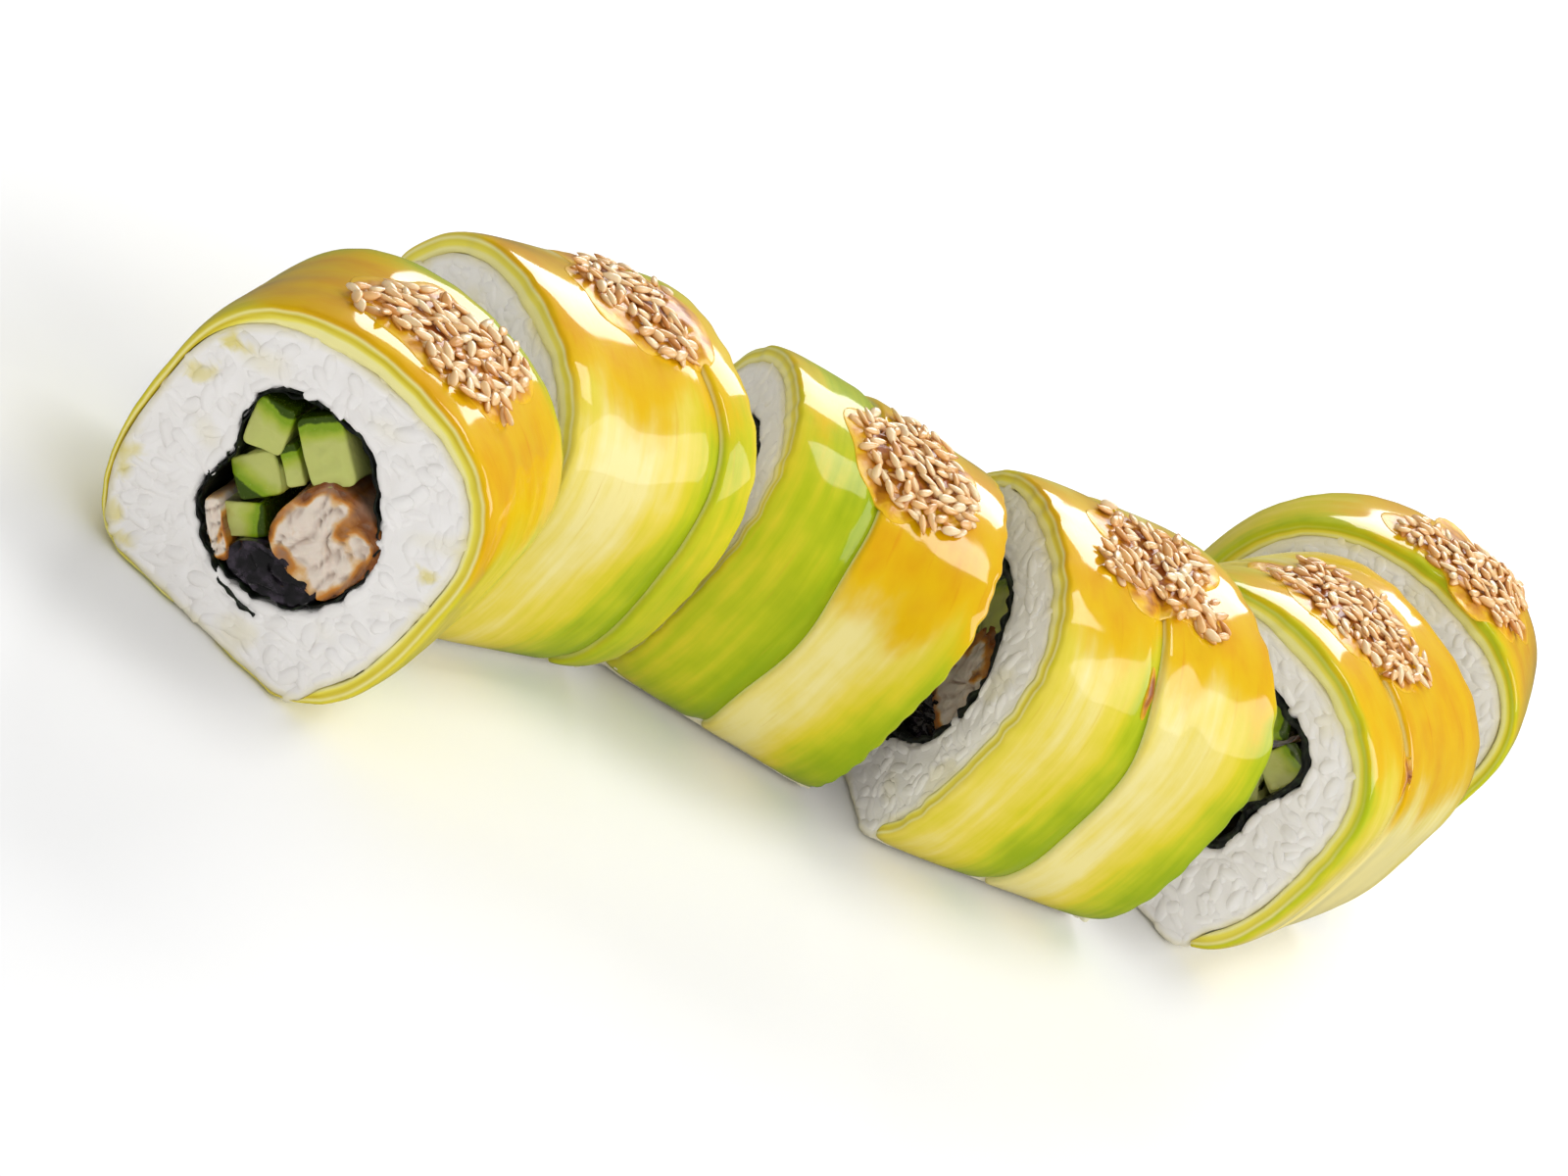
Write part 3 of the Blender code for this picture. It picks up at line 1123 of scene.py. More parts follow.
@dataclass(frozen=True)
class RiceBody:
    """Pressed rice of one slice: a core with relief, and whole grains on both cuts.

    Attributes:
        cut: The slice.
        grain: Length and breadth of a cooked grain.
        spacing: Distance between grains of one layer.
        sunk: How far the core lies below the cut.
    """

    cut: Cut
    grain: tuple[float, float] = (5.2, 2.35)
    spacing: float = 2.75
    sunk: float = 0.19
    stations: int = 260

    def core(self) -> Body:
        """Ring of rice: straight between the hole and the avocado, its faces set back a little.

        The section runs along the outer side, in over the back face, along the hole and out
        over the front face. Everything is moved by soft ripples.
        """
        angle = np.linspace(0.0, math.tau, self.stations, endpoint=False)[:, None]
        side, face = np.linspace(0.04, 0.96, 9), np.linspace(0.02, 0.98, 12)
        out = np.concatenate([np.ones(9), face[::-1], np.zeros(9), face])[None]
        share = np.concatenate([side, np.ones(12), side[::-1], np.zeros(12)])[None]
        inner, outer = self.cut.hole(angle) + 0.1, self.cut.rim(angle) + 0.15
        radius = inner + out * (outer - inner)
        u = self.cut.hub[0] + radius * np.cos(angle)
        v = self.cut.hub[1] + radius * np.sin(angle)
        spot = np.stack([u, v, share * self.cut.depth + np.zeros_like(u)], -1)
        swell = Ripple(self.cut.number, 3.4).at(spot)
        level = self.cut.cut(u, share) + np.where(share < 0.5, 1.0, -1.0) * (self.sunk + 0.10 * swell)
        level = np.where((out > 0.99) | (out < 0.01), self.cut.cut(u, 0.06 + 0.88 * share), level)
        v = np.maximum(v, 0.3)
        grid = self.cut.world(u, v, level)
        # Painted shade: the tone rises with the ripple that sets the core deeper, so its hollows are painted
        # greyer.
        tone = np.full(u.shape, 0.35) + 0.2 * swell
        return Body.ring(grid, {"tone": tone, "stain": self.stain(u, v)})

    def stain(self, u: Array, v: Array) -> Array:
        """Share of avocado rubbed into the rice: strong at the rim, and some soft patches."""
        from_hub = np.stack([u, v], -1) - self.cut.hub
        angle = np.arctan2(from_hub[..., 1], from_hub[..., 0])
        left = self.cut.rim(angle) - np.linalg.norm(from_hub, axis=-1)
        spot = np.stack([u, v], -1)
        patches = smooth(1.1, 2.2, Ripple(40 + self.cut.number, 12.0).at(spot))
        stain = 0.45 * smooth(1.3, 0.0, left) + 0.25 * patches
        for across, up, reach in self.cut.look.smears:
            away = np.hypot(u - across, v - up) + 0.7 * Ripple(60, 4.0).at(spot)
            stain = np.maximum(stain, 0.9 * smooth(reach, 0.3 * reach, away))
        return stain

    @staticmethod
    def one_grain(rings: int = 7, width: int = 9) -> Body:
        """A plump grain of length and breadth 1, lying along its first axis.

        Radius = half the breadth times sin(pi t)^0.62, a little fuller towards one end.
        """
        t = np.linspace(0.035, 0.965, rings)[:, None]
        turn = np.linspace(0.0, math.tau, width, endpoint=False)[None]
        radius = 0.5 * np.sin(math.pi * t) ** 0.62 * (1.0 + 0.12 * (t - 0.5))
        along = -0.5 * np.cos(math.pi * t) + 0.0 * turn
        return Body.tube(np.stack([along, radius * np.cos(turn), radius * np.sin(turn)], -1))

    def border_places(self, line: Array, draw: np.random.Generator) -> tuple[Array, Array]:
        """Spots spaced along a closed line, and the line's direction at each.

        Args:
            line: Points of the line, from the hub.
            draw: Source of chance.

        Returns:
            Spots from the hub, and headings in radians.
        """
        way = np.concatenate([[0.0], np.cumsum(np.linalg.norm(np.diff(line, axis=0), axis=1))])
        stops = np.arange(1.5, way[-1] - 2.0, self.grain[0] * 0.8)
        stops = stops + draw.normal(0.0, 0.35, stops.size)
        before, spots, after = (
            np.stack([np.interp(stops + step, way, line[:, k]) for k in (0, 1)], -1)
            for step in (-1.5, 0.0, 1.5)
        )
        ahead = after - before
        return spots, np.arctan2(ahead[:, 1], ahead[:, 0]) + draw.normal(0.0, 0.08, stops.size)

    def face_places(self, layer: float, draw: np.random.Generator) -> tuple[Array, Array, Array]:
        """Spots for grains on one face: a jittered hexagonal grid, and rows along both borders.

        Args:
            layer: 0 for the deeper layer, 1 for the upper one, which carries the rows.
            draw: Source of chance.

        Returns:
            Spots (u, v), headings, and whether each lies in a border row.
        """
        reach, clear = 30.0, 1.0 + 0.75 * layer
        row = np.arange(-reach, reach, self.spacing)
        u, v = np.meshgrid(row, np.arange(-reach, reach, self.spacing * 0.866))
        u = u + (np.arange(len(u)) % 2)[:, None] * self.spacing / 2.0
        spots = np.stack([u.ravel(), v.ravel()], -1) + draw.normal(0.0, 0.45, (u.size, 2))
        angle = np.arctan2(spots[:, 1], spots[:, 0])
        radius = np.linalg.norm(spots, axis=1)
        inside = (radius > self.cut.hole(angle) + clear) & (radius < self.cut.rim(angle) - clear)
        spots = spots[inside]
        heading = draw.uniform(0.0, math.pi, len(spots))
        rows = np.zeros(len(spots), bool)
        if layer > 0.5:
            turn = np.linspace(0.0, math.tau, 721)
            for radius in (self.cut.hole(turn) + 0.80, self.cut.rim(turn) - 1.05):
                line = radius[:, None] * np.stack([np.cos(turn), np.sin(turn)], -1)
                more, along = self.border_places(line, draw)
                spots, heading = np.concatenate([spots, more]), np.concatenate([heading, along])
                rows = np.concatenate([rows, np.ones(len(more), bool)])
        return spots + self.cut.hub, heading, rows

    def grains(self) -> Body:
        """Whole grains bedded in both cuts in two layers, and along the bare lower sides.

        Grains lie mostly in the face, along the edge where they are near one, and what would
        stand proud of the cut is pressed flat.
        """
        draw = np.random.default_rng(100 + self.cut.number)
        one = self.one_grain()
        parts = []
        for share, inward in ((0.0, 1.0), (1.0, -1.0)):
            for layer in (0.0, 1.0):
                places = self.face_places(layer, draw)
                parts.append(self.bed(one, places, share, inward, layer, draw))
        if self.cut.number > 1:
            parts.append(self.lower_side(one, draw))
        places = np.concatenate([part[0] for part in parts])
        tone = np.concatenate([part[1] for part in parts])
        stain = np.concatenate([part[2] for part in parts])
        return Body.scatter(one, places, {"tone": tone, "stain": stain})

    def bed(
        self, one: Body, laid: tuple[Array, Array, Array], share: float, inward: float,
        layer: float, draw: np.random.Generator,
    ) -> tuple[Array, Array, Array]:
        """Lay one layer of grains into a cut.

        Args:
            one: The grain.
            laid: Middles (u, v), headings, and whether each grain lies in a border row.
            share: 0 for the front cut, 1 for the back cut.
            inward: Sign of x towards the middle of the slice.
            layer: 0 for the deeper layer, 1 for the upper one.
            draw: Source of chance.

        Returns:
            Points on the table, tones and stains, as (grain, vertex, ...).
        """
        spots, heading, rows = laid
        count = len(spots)
        pitch = draw.normal(0.0, 0.24, count) * np.where(rows, 0.4, 1.0)
        length = self.grain[0] * draw.uniform(0.80, 1.08, count)
        breadth = self.grain[1] * draw.uniform(0.86, 1.08, count) * np.where(rows, 0.92, 1.0)
        shape = one.places[None] * np.stack([length, breadth, breadth * 0.92], -1)[:, None]
        bend = draw.normal(0.0, 0.035, (count, 1)) * shape[..., 0] ** 2
        shape[..., 1] += bend
        level = np.cos(pitch)
        forward = np.stack([np.cos(heading) * level, np.sin(heading) * level, np.sin(pitch)], -1)
        beside = np.stack([-np.sin(heading), np.cos(heading), np.zeros(count)], -1)
        above = np.cross(forward, beside)
        local = (
            shape[..., :1] * forward[:, None]
            + shape[..., 1:2] * beside[:, None]
            + shape[..., 2:] * above[:, None]
        )
        u = spots[:, :1] + local[..., 0]
        v = np.maximum(spots[:, 1:] + local[..., 1], 0.15)
        lift = draw.normal(0.92, 0.10, (count, 1)) + (1.0 - layer) * 0.22
        below = lift + local[..., 2]
        flat = draw.normal(0.02, 0.07, (count, 1))
        below = np.where(below < flat, flat - 0.35 * (flat - below), below)
        x = self.cut.cut(u, share) + inward * below
        tone = np.repeat(draw.uniform(0.0, 0.75, (count, 1)), u.shape[1], 1)
        return self.cut.world(u, v, x), tone, self.stain(u, v)

    def lower_side(self, one: Body, draw: np.random.Generator) -> tuple[Array, Array, Array]:
        """Lay grains along both lower corners, where the rice is bare below the avocado."""
        outline = self.cut.outline
        count = 46
        low, high = outline.girth(140.0), outline.girth(158.0)
        girth = draw.uniform(low, high, count) * draw.choice([-1.0, 1.0], count)
        share = draw.uniform(0.06, 0.94, count)
        spot = outline.point(girth) - outline.outward(girth) * 1.15
        heading = draw.uniform(0.0, math.pi, count)
        away = outline.outward(girth)
        round_way = np.stack([away[:, 1], -away[:, 0]], -1)
        size = np.array([self.grain[0], self.grain[1], self.grain[1] * 0.9])
        shape = one.places[None] * size * draw.uniform(0.85, 1.1, (count, 1, 1))
        turned = shape[..., 0] * np.cos(heading)[:, None] - shape[..., 1] * np.sin(heading)[:, None]
        along = shape[..., 0] * np.sin(heading)[:, None] + shape[..., 1] * np.cos(heading)[:, None]
        place = spot[:, None] + turned[..., None] * round_way[:, None] + shape[..., 2:] * away[:, None]
        u, v = place[..., 0], np.maximum(place[..., 1], 0.1)
        x = self.cut.cut(u, share[:, None]) + along
        x = np.clip(x, self.cut.cut(u, 0.0) + 0.2, self.cut.cut(u, 1.0) - 0.2)
        tone = np.repeat(draw.uniform(0.0, 0.75, (count, 1)), u.shape[1], 1)
        return self.cut.world(u, v, x), tone, self.stain(u, v) * 0.4

    def build(self) -> None:
        """Make the core and the grains."""
        number = self.cut.number
        self.core().piece(f"rice_core_{number}", RiceFinish(), (f"rice_{number}",))
        self.grains().piece(f"rice_grains_{number}", RiceFinish())


# ---------------------------------------------------------------- filling


@dataclass(frozen=True)
class NoriSheet:
    """Seaweed sheet rolled one and a half times round the filling, its cut edges ragged."""

    cut: Cut
    turns: float = 1.5
    end: float = -70.0
    thickness: float = 0.28
    hidden_folds: float = 3.0
    stations: int = 300

    def build(self) -> None:
        """A band carried along a spiral: the last turn touches the rice, the first lies inside.

        Radius = hole - gap - step * (share of the way still to go), and the last stretch
        leaves the tube as a loose tail.
        """
        way = np.linspace(0.0, 1.0, self.stations)[:, None]
        end = math.radians(self.end if self.cut.side > 0.0 else 180.0 - self.end)
        angle = end - self.cut.side * (1.0 - way) * self.turns * math.tau
        share = np.array([0.0, 0.004, 0.02, 0.06, 0.15, 0.35, 0.65, 0.85, 0.94, 0.98, 0.996, 1.0])
        outer = np.concatenate([np.ones(share.size), np.zeros(share.size)])[None]
        share = np.concatenate([share, share[::-1]])[None]
        radius = self.cut.hole(angle) - 0.10 - 0.36 * (1.0 - way) ** 0.8
        radius = radius + 1.9 * smooth(0.93, 1.0, way) * (1.0 if self.cut.number == 1 else 0.3)
        run = np.concatenate(np.broadcast_arrays(angle * 13.0, share * self.cut.depth), -1)
        run = np.stack([run[:, : share.size], run[:, share.size :]], -1)
        wrinkle = Ripple(200 + self.cut.number, 4.5).at(run) * 0.20
        thickness = self.thickness * (1.0 if self.cut.number == 1 else self.hidden_folds)
        radius = radius + wrinkle - thickness * (1.0 - outer)
        u = self.cut.hub[0] + radius * np.cos(angle)
        v = self.cut.hub[1] + radius * np.sin(angle)
        torn = Ripple(220 + self.cut.number, 2.2).at(np.stack([angle * 13.0, way * 40.0], -1)) * 0.28
        sunk = 0.25 + torn - 0.45 * smooth(0.90, 0.96, way)
        x = self.cut.cut(u, share) + np.where(share < 0.5, 1.0, -1.0) * sunk
        name = f"nori_{self.cut.number}"
        Body.tube(self.cut.world(u, v, x)).piece(f"nori_sheet_{self.cut.number}", NoriFinish(), (name,))


@dataclass(frozen=True)
class Stick:
    """A filling stick: rounded bar through the slice, with relief on both ends.

    Attributes:
        kind: Which slot it belongs to.
        width: Width of the bar.
        height: Height of the bar.
        turn: Turn of the bar anticlockwise, in degrees.
        power: Squareness of its section.
        rind: Side of the bar that carries the rind, in degrees from its own right.
        grown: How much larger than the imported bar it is.
        shift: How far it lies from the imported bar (u, v), and how deep below the cut.
        recess: How deep every end lies below its cut.
        hidden_recess: How much deeper the ends lie in all slices but the first.
    """

    kind: Slot
    width: float
    height: float
    turn: float
    power: float = 8.0
    rind: float = 90.0
    grown: float = 1.16
    shift: tuple[float, float, float] = (0.0, 0.0, 0.0)
    recess: float = 0.45
    hidden_recess: float = 2.4

    @staticmethod
    def centre(cut: Cut, node: str) -> Array:
        """Middle (u, v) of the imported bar."""
        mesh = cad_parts[node].data
        corners = np.empty(len(mesh.vertices) * 3)
        mesh.vertices.foreach_get("co", corners)
        corners = corners.reshape(-1, 3) / MM
        across = np.array([math.sin(cut.turn), -math.cos(cut.turn)])
        u = (corners[:, :2] - np.array(cut.middle)) @ across
        return np.array([(u.min() + u.max()) / 2.0, (corners[:, 2].min() + corners[:, 2].max()) / 2.0])

    def section(self, cut: Cut) -> tuple[Array, Array]:
        """Section loop of the bar round its middle, and its own upright.

        The loop is a superellipse, turned.
        """
        angle = np.linspace(0.0, math.tau, 56, endpoint=False)
        c, s = np.cos(angle), np.sin(angle)
        a = self.width / 2.0 * np.sign(c) * np.abs(c) ** (2.0 / self.power)
        b = self.height / 2.0 * np.sign(s) * np.abs(s) ** (2.0 / self.power)
        own = np.stack([a, b], -1) * cut.outline.size * self.grown
        turn = math.radians(self.turn)
        spun = np.stack(
            [own[:, 0] * math.cos(turn) - own[:, 1] * math.sin(turn),
             own[:, 0] * math.sin(turn) + own[:, 1] * math.cos(turn)], -1)
        spun[:, 0] *= cut.side
        return spun, own

    def build(self, cut: Cut, node: str, seed: int) -> None:
        """Carry the section from the middle of one end, over its edge, to the other end.

        Args:
            cut: The slice.
            node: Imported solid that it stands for.
            seed: Seed of its relief.
        """
        spun, own = self.section(cut)
        face = np.array([0.03, 0.12, 0.22, 0.32, 0.42, 0.52, 0.62, 0.71, 0.79, 0.86, 0.92, 0.965, 0.99, 1.0])
        sunk = np.array([0.0] * 10 + [0.02, 0.08, 0.22, 0.5])
        body = np.linspace(0.08, 0.92, 12)
        scale = np.concatenate([face, np.ones(12), face[::-1]])[:, None]
        share = np.concatenate([np.zeros(14), body, np.ones(14)])[:, None]
        inward = np.concatenate([sunk, np.zeros(12), -sunk[::-1]])[:, None]
        centre = self.centre(cut, node) + np.array([self.shift[0] * cut.side, self.shift[1]])
        u = centre[0] + scale * spun[None, :, 0]
        v = centre[1] + scale * spun[None, :, 1]
        at = np.stack([scale * own[None, :, 0], scale * own[None, :, 1], share * cut.depth + 0.0 * u], -1)
        lift, marks = self.relief(at, scale + 0.0 * u, seed)
        end = np.where(share < 0.5, 1.0, -1.0)
        deep = self.recess + self.shift[2] + (self.hidden_recess if cut.number > 1 else 0.0)
        x = cut.cut(u, share) + inward + end * (deep + lift)
        x = np.where((share > 0.01) & (share < 0.99), cut.cut(u, share), x)
        swell = 1.0 + 0.03 * Ripple(seed + 7, 7.0).at(at)
        u, v = centre[0] + (u - centre[0]) * swell, centre[1] + (v - centre[1]) * swell
        Body.tube(cut.world(u, v, x), marks).piece(f"{node}_piece", self.finish(), (node,))

    def relief(self, at: Array, scale: Array, seed: int) -> tuple[Array, dict[str, Array]]:
        """How deep the end lies at each vertex, and the marks its finish reads.

        Args:
            at: Own coordinates of the bar.
            scale: Share of the way from the middle of the end to its edge.
            seed: Seed of the relief.

        Returns:
            Depth in mm below the usual, and named marks.
        """
        side = math.radians(self.rind)
        reach = max(abs(self.width * math.cos(side)), abs(self.height * math.sin(side))) / 2.0
        rind = reach - (at[..., 0] * math.cos(side) + at[..., 1] * math.sin(side))
        wave = Ripple(seed, 3.0).at(at[..., :2])
        return 0.10 * wave + 0.12 * scale**3, {"rind": rind + 0.12 * wave}

    def finish(self) -> Finish:
        """Finish of the stick."""
        return CucumberFinish()


@dataclass(frozen=True)
class EelPiece(Stick):
    """Grilled eel: flakes with creases between them, browned at the rim."""

    baste: float = 0.0

    def relief(self, at: Array, scale: Array, seed: int) -> tuple[Array, dict[str, Array]]:
        """Ridged ripples make the creases; basting grows towards the rim and the top."""
        flat = at[..., :2]
        crease_shade = Ripple(seed, 4.2).ridges(flat * np.array([1.0, 0.75])) ** 3
        fine = Ripple(seed + 1, 1.6).ridges(flat) ** 2
        depth = 0.85 * crease_shade + 0.25 * fine - 0.35
        upper = smooth(-0.02, 0.42, (at[..., 1] + 0.45 * at[..., 0]) / self.height)
        patches = 0.22 * Ripple(seed + 2, 4.0).at(flat)
        brown = self.baste + 0.75 * smooth(0.66, 1.0, scale) + 0.62 * upper + patches
        # The crease mark also carries the painted shade of the creases to the finish.
        return depth, {"brown": np.clip(brown, 0.0, 1.0), "crease_shade": crease_shade}

    def finish(self) -> Finish:
        """Finish of grilled eel."""
        return EelFinish()


@dataclass(frozen=True)
class EelSkin(Stick):
    """Folded eel skin: wet folds that run across the end."""

    def relief(self, at: Array, scale: Array, seed: int) -> tuple[Array, dict[str, Array]]:
        """Folds are ridged ripples stretched along the bar's width."""
        folds = Ripple(seed, 3.6).ridges(at[..., :2] * np.array([0.55, 1.3]))
        return 0.9 * folds**2 - 0.4, {}

    def finish(self) -> Finish:
        """Finish of eel skin."""
        return EelSkinFinish()


FILLING = {
    Slot.CUCUMBER: (
        Stick(Slot.CUCUMBER, 4.7, 6.0, 18.0, rind=75.0),
        Stick(Slot.CUCUMBER, 7.9, 5.5, -38.0, rind=180.0, grown=1.2),
        Stick(Slot.CUCUMBER, 5.1, 5.5, -36.0, rind=-50.0, shift=(0.0, 0.0, 1.3)),
        Stick(Slot.CUCUMBER, 4.2, 1.8, -38.0, rind=180.0, grown=1.35, shift=(0.0, 0.0, 0.7)),
        Stick(Slot.CUCUMBER, 5.6, 3.8, 42.0, rind=-10.0, grown=1.25, shift=(-0.3, -1.6, 1.1)),
    ),
    Slot.EEL: (
        EelPiece(Slot.EEL, 11.4, 12.3, -8.0, 3.2, shift=(0.4, -0.2, 0.0)),
        EelPiece(Slot.EEL, 6.0, 1.7, -42.0, 4.0, grown=1.4, baste=-0.35),
    ),
    Slot.EEL_SKIN: (EelSkin(Slot.EEL_SKIN, 9.6, 4.8, 14.0, 2.6, grown=1.35, shift=(0.0, 0.0, 0.4)),),
}


# ---------------------------------------------------------------- avocado


@dataclass(frozen=True)
class Cover:
    """The avocado over one slice: seams, height of the outer face, glaze, and its strips.

    Attributes:
        cut: The slice.
        edge: Rounding of a cut edge.
        lip: Rounding of an edge that lies on the strip before it.
        under: How far a strip goes on under the next one.
        sink: How far that hidden edge sinks.
        fall: How far the face falls away at a cut edge, over fall_reach.
        lip_height: How far a lip stands up.
    """

    cut: Cut
    edge: float = 0.55
    lip: float = 0.8
    under: float = 2.2
    sink: float = 0.75
    fall: float = 0.42
    fall_reach: float = 1.3
    lip_height: float = 0.30

    @property
    def reach(self) -> float:
        """Girth at which the strips end; the first slice's goes on under the base."""
        return self.cut.outline.girth(178.0 if self.cut.number == 1 else self.cut.outline.strip_reach)

    def seam(self, girth: Array, index: int) -> Array:
        """Place along the axis where the upper strip of a seam begins.

        The seam leans along the girth and wanders a little.
        """
        share, lean = self.cut.look.seams[index]
        u = self.cut.outline.point(girth)[..., 0]
        wander = Ripple(300 + self.cut.number, 34.0).at(girth[..., None]) * 0.30
        return self.cut.cut(u, share + lean * girth / self.reach) + wander

    def glaze(self, girth: Array, x: Array, look: StripLook) -> Array:
        """Share of amber glaze: full over the crown, running down in lobes on both sides."""
        left, right, strength = look.glaze
        lobes = Ripple(320 + self.cut.number, 14.0, 8).at(x[..., None])
        right_edge, left_edge = right + 1.5 * lobes, left - 1.5 * lobes
        on = smooth(right_edge + 9.0, right_edge - 7.0, girth)
        return strength * on * smooth(-left_edge - 9.0, -left_edge + 7.0, girth)

    def edges(self, girth: Array, index: int) -> tuple[Array, Array]:
        """Places along the axis of a strip's front and back edges; the cut ones are uneven."""
        u = self.cut.outline.point(girth)[..., 0]
        nick = Ripple(380 + self.cut.number * 3 + index, 5.0).at(girth[..., None]) * 0.10
        last = index == len(self.cut.look.strips) - 1
        front = self.cut.cut(u, 0.0) + 0.12 + nick if index == 0 else self.seam(girth, index - 1)
        back = self.cut.cut(u, 1.0) - 0.12 - nick if last else self.seam(girth, index) + self.under
        return front, back

    def height(self, girth: Array, x: Array, index: int) -> Array:
        """Height of a strip's outer face above the outline.

        Long and short ripples and a bulge over its width. A cut edge falls away, an edge that
        lies on the strip before it stands up as a lip, and one that lies under the next sinks.

        Args:
            girth: Girths.
            x: Places along the axis.
            index: Number of the strip from the front, from 0.

        Returns:
            Heights in mm.
        """
        uv = self.cut.outline.point(girth)
        spot = np.stack([uv[..., 0], uv[..., 1], x + 0.0 * uv[..., 0]], -1)
        number = self.cut.number
        rise = 0.15 * Ripple(340 + number, 24.0).at(spot) + 0.02 * Ripple(350 + number, 7.0).at(spot)
        rise = rise * smooth(0.0, 6.0, uv[..., 1])
        rise = rise - self.cut.look.lowered * smooth(25.0, 45.0, uv[..., 1])
        front, back = self.edges(girth, index)
        from_front, from_back = np.maximum(x - front, 0.0), np.maximum(back - x, 0.0)
        rise = rise + from_front * from_back / (back - front) ** 2
        if index == 0:
            rise = rise - self.fall * np.exp(-from_front / self.fall_reach)
        else:
            rise = rise + self.lip_height * smooth(7.0, 0.5, from_front)
        if index == len(self.cut.look.strips) - 1:
            return rise - self.fall * np.exp(-from_back / self.fall_reach)
        return rise - self.sink * smooth(self.under + 3.0, self.under - 0.6, from_back)

    def surface(self, girth: Array, x: Array, above: Array | float = 0.0) -> Array:
        """Points on the table on the topmost strip's outer face, or above it."""
        tops = []
        for index in range(len(self.cut.look.strips)):
            front, back = self.edges(girth, index)
            tops.append(np.where((x < front) | (x > back), -1.0, self.height(girth, x, index)))
        level = np.maximum.reduce(tops)
        away = self.cut.outline.outward(girth)
        raised = self.cut.outline.point(girth) + away * (level + above)[..., None]
        return self.cut.world(raised[..., 0], np.maximum(raised[..., 1], 0.25), x)

    def strip(self, index: int) -> None:
        """Make one strip as a rounded band carried over the crown.

        Across the band the loop runs over the outer face from front to back, down the
        rounded back edge, back along the inner face and up the rounded front edge. Where
        the next strip lies on top, the back edge sinks under it, and its own front edge
        stands up as a rounded lip.

        Args:
            index: Number of the strip from the front, from 0.
        """
        look = self.cut.look.strips[index]
        first, last = index == 0, index == len(self.cut.look.strips) - 1
        outline = self.cut.outline
        wobble = Ripple(360 + self.cut.number * 3 + index, 15.0)
        girth = np.linspace(-1.0, 1.0, 161)[:, None] * (self.reach - 0.4)
        front, back = self.edges(girth, index)
        thick = self.cut.avocado_depth(girth) - 0.15
        thick = thick * (1.0 + 0.035 * wobble.at(girth[..., None]))
        round_front = np.minimum(self.edge if first else self.lip, thick * 0.42)
        round_back = np.minimum(self.edge, thick * 0.42)

        turn = np.linspace(0.0, math.pi / 2.0, 6)
        top = np.linspace(0.0, 1.0, 44)[1:-1]
        side = np.linspace(0.0, 1.0, 5)[1:]
        inner = np.linspace(1.0, 0.0, 9)[1:-1]
        zero = np.zeros
        # share across, rounding front, rounding back, depth by front edge, by back edge, and full
        parts = [
            (zero(6), 1.0 - np.cos(turn), zero(6), 1.0 - np.sin(turn), zero(6), zero(6)),
            (top, 1.0 - top, -top, zero(42), zero(42), zero(42)),
            (np.ones(6), zero(6), np.cos(turn) - 1.0, zero(6), (1.0 - np.sin(turn)), zero(6)),
            (np.ones(4), zero(4), zero(4), zero(4), 1.0 - side, side),
            (inner, zero(7), zero(7), zero(7), zero(7), np.ones(7)),
            (zero(4), zero(4), zero(4), 1.0 - side[::-1], zero(4), side[::-1]),
        ]
        parts[2] = tuple(column[::-1] for column in parts[2])
        across, by_front, by_back, deep_front, deep_back, full = (
            np.concatenate(column)[None] for column in zip(*parts)
        )
        x = front + across * (back - front) + by_front * round_front + by_back * round_back
        depth = deep_front * round_front + deep_back * round_back + full * thick
        fades = np.clip(1.0 - depth / thick, 0.0, 1.0)
        level = self.height(girth + 0.0 * x, x, index) * fades - depth
        uv, away = outline.point(girth + 0.0 * x), outline.outward(girth + 0.0 * x)
        place = uv + away * level[..., None]
        grid = self.cut.world(place[..., 0], np.maximum(place[..., 1], 0.25), x)
        hidden = 0.0 if last else self.under
        ripe = look.ripe(girth, np.clip(across * (back - front) / (back - front - hidden), 0.0, 1.0))
        line = look.rim_line * np.exp(-(((depth - 1.2) / 0.34) ** 2))
        marks = {
            "ripe": ripe + 0.0 * x,
            "glaze": self.glaze(girth + 0.0 * x, x, look) * (1.0 - 0.75 * smooth(0.5, 0.8, ripe)) * fades,
            "girth": girth + 0.0 * x,
            "across": x,
            "depth": depth + 0.0 * x,
            "line": line + 0.0 * x,
        }
        node = f"avocado_{self.cut.number}_{index + 1}"
        Body.tube(grid, marks).piece(f"{node}_strip", AvocadoFinish(), (node,))

    def build(self) -> None:
        """Make every strip."""
        for index in range(len(self.cut.look.strips)):
            self.strip(index)


# ---------------------------------------------------------------- topping


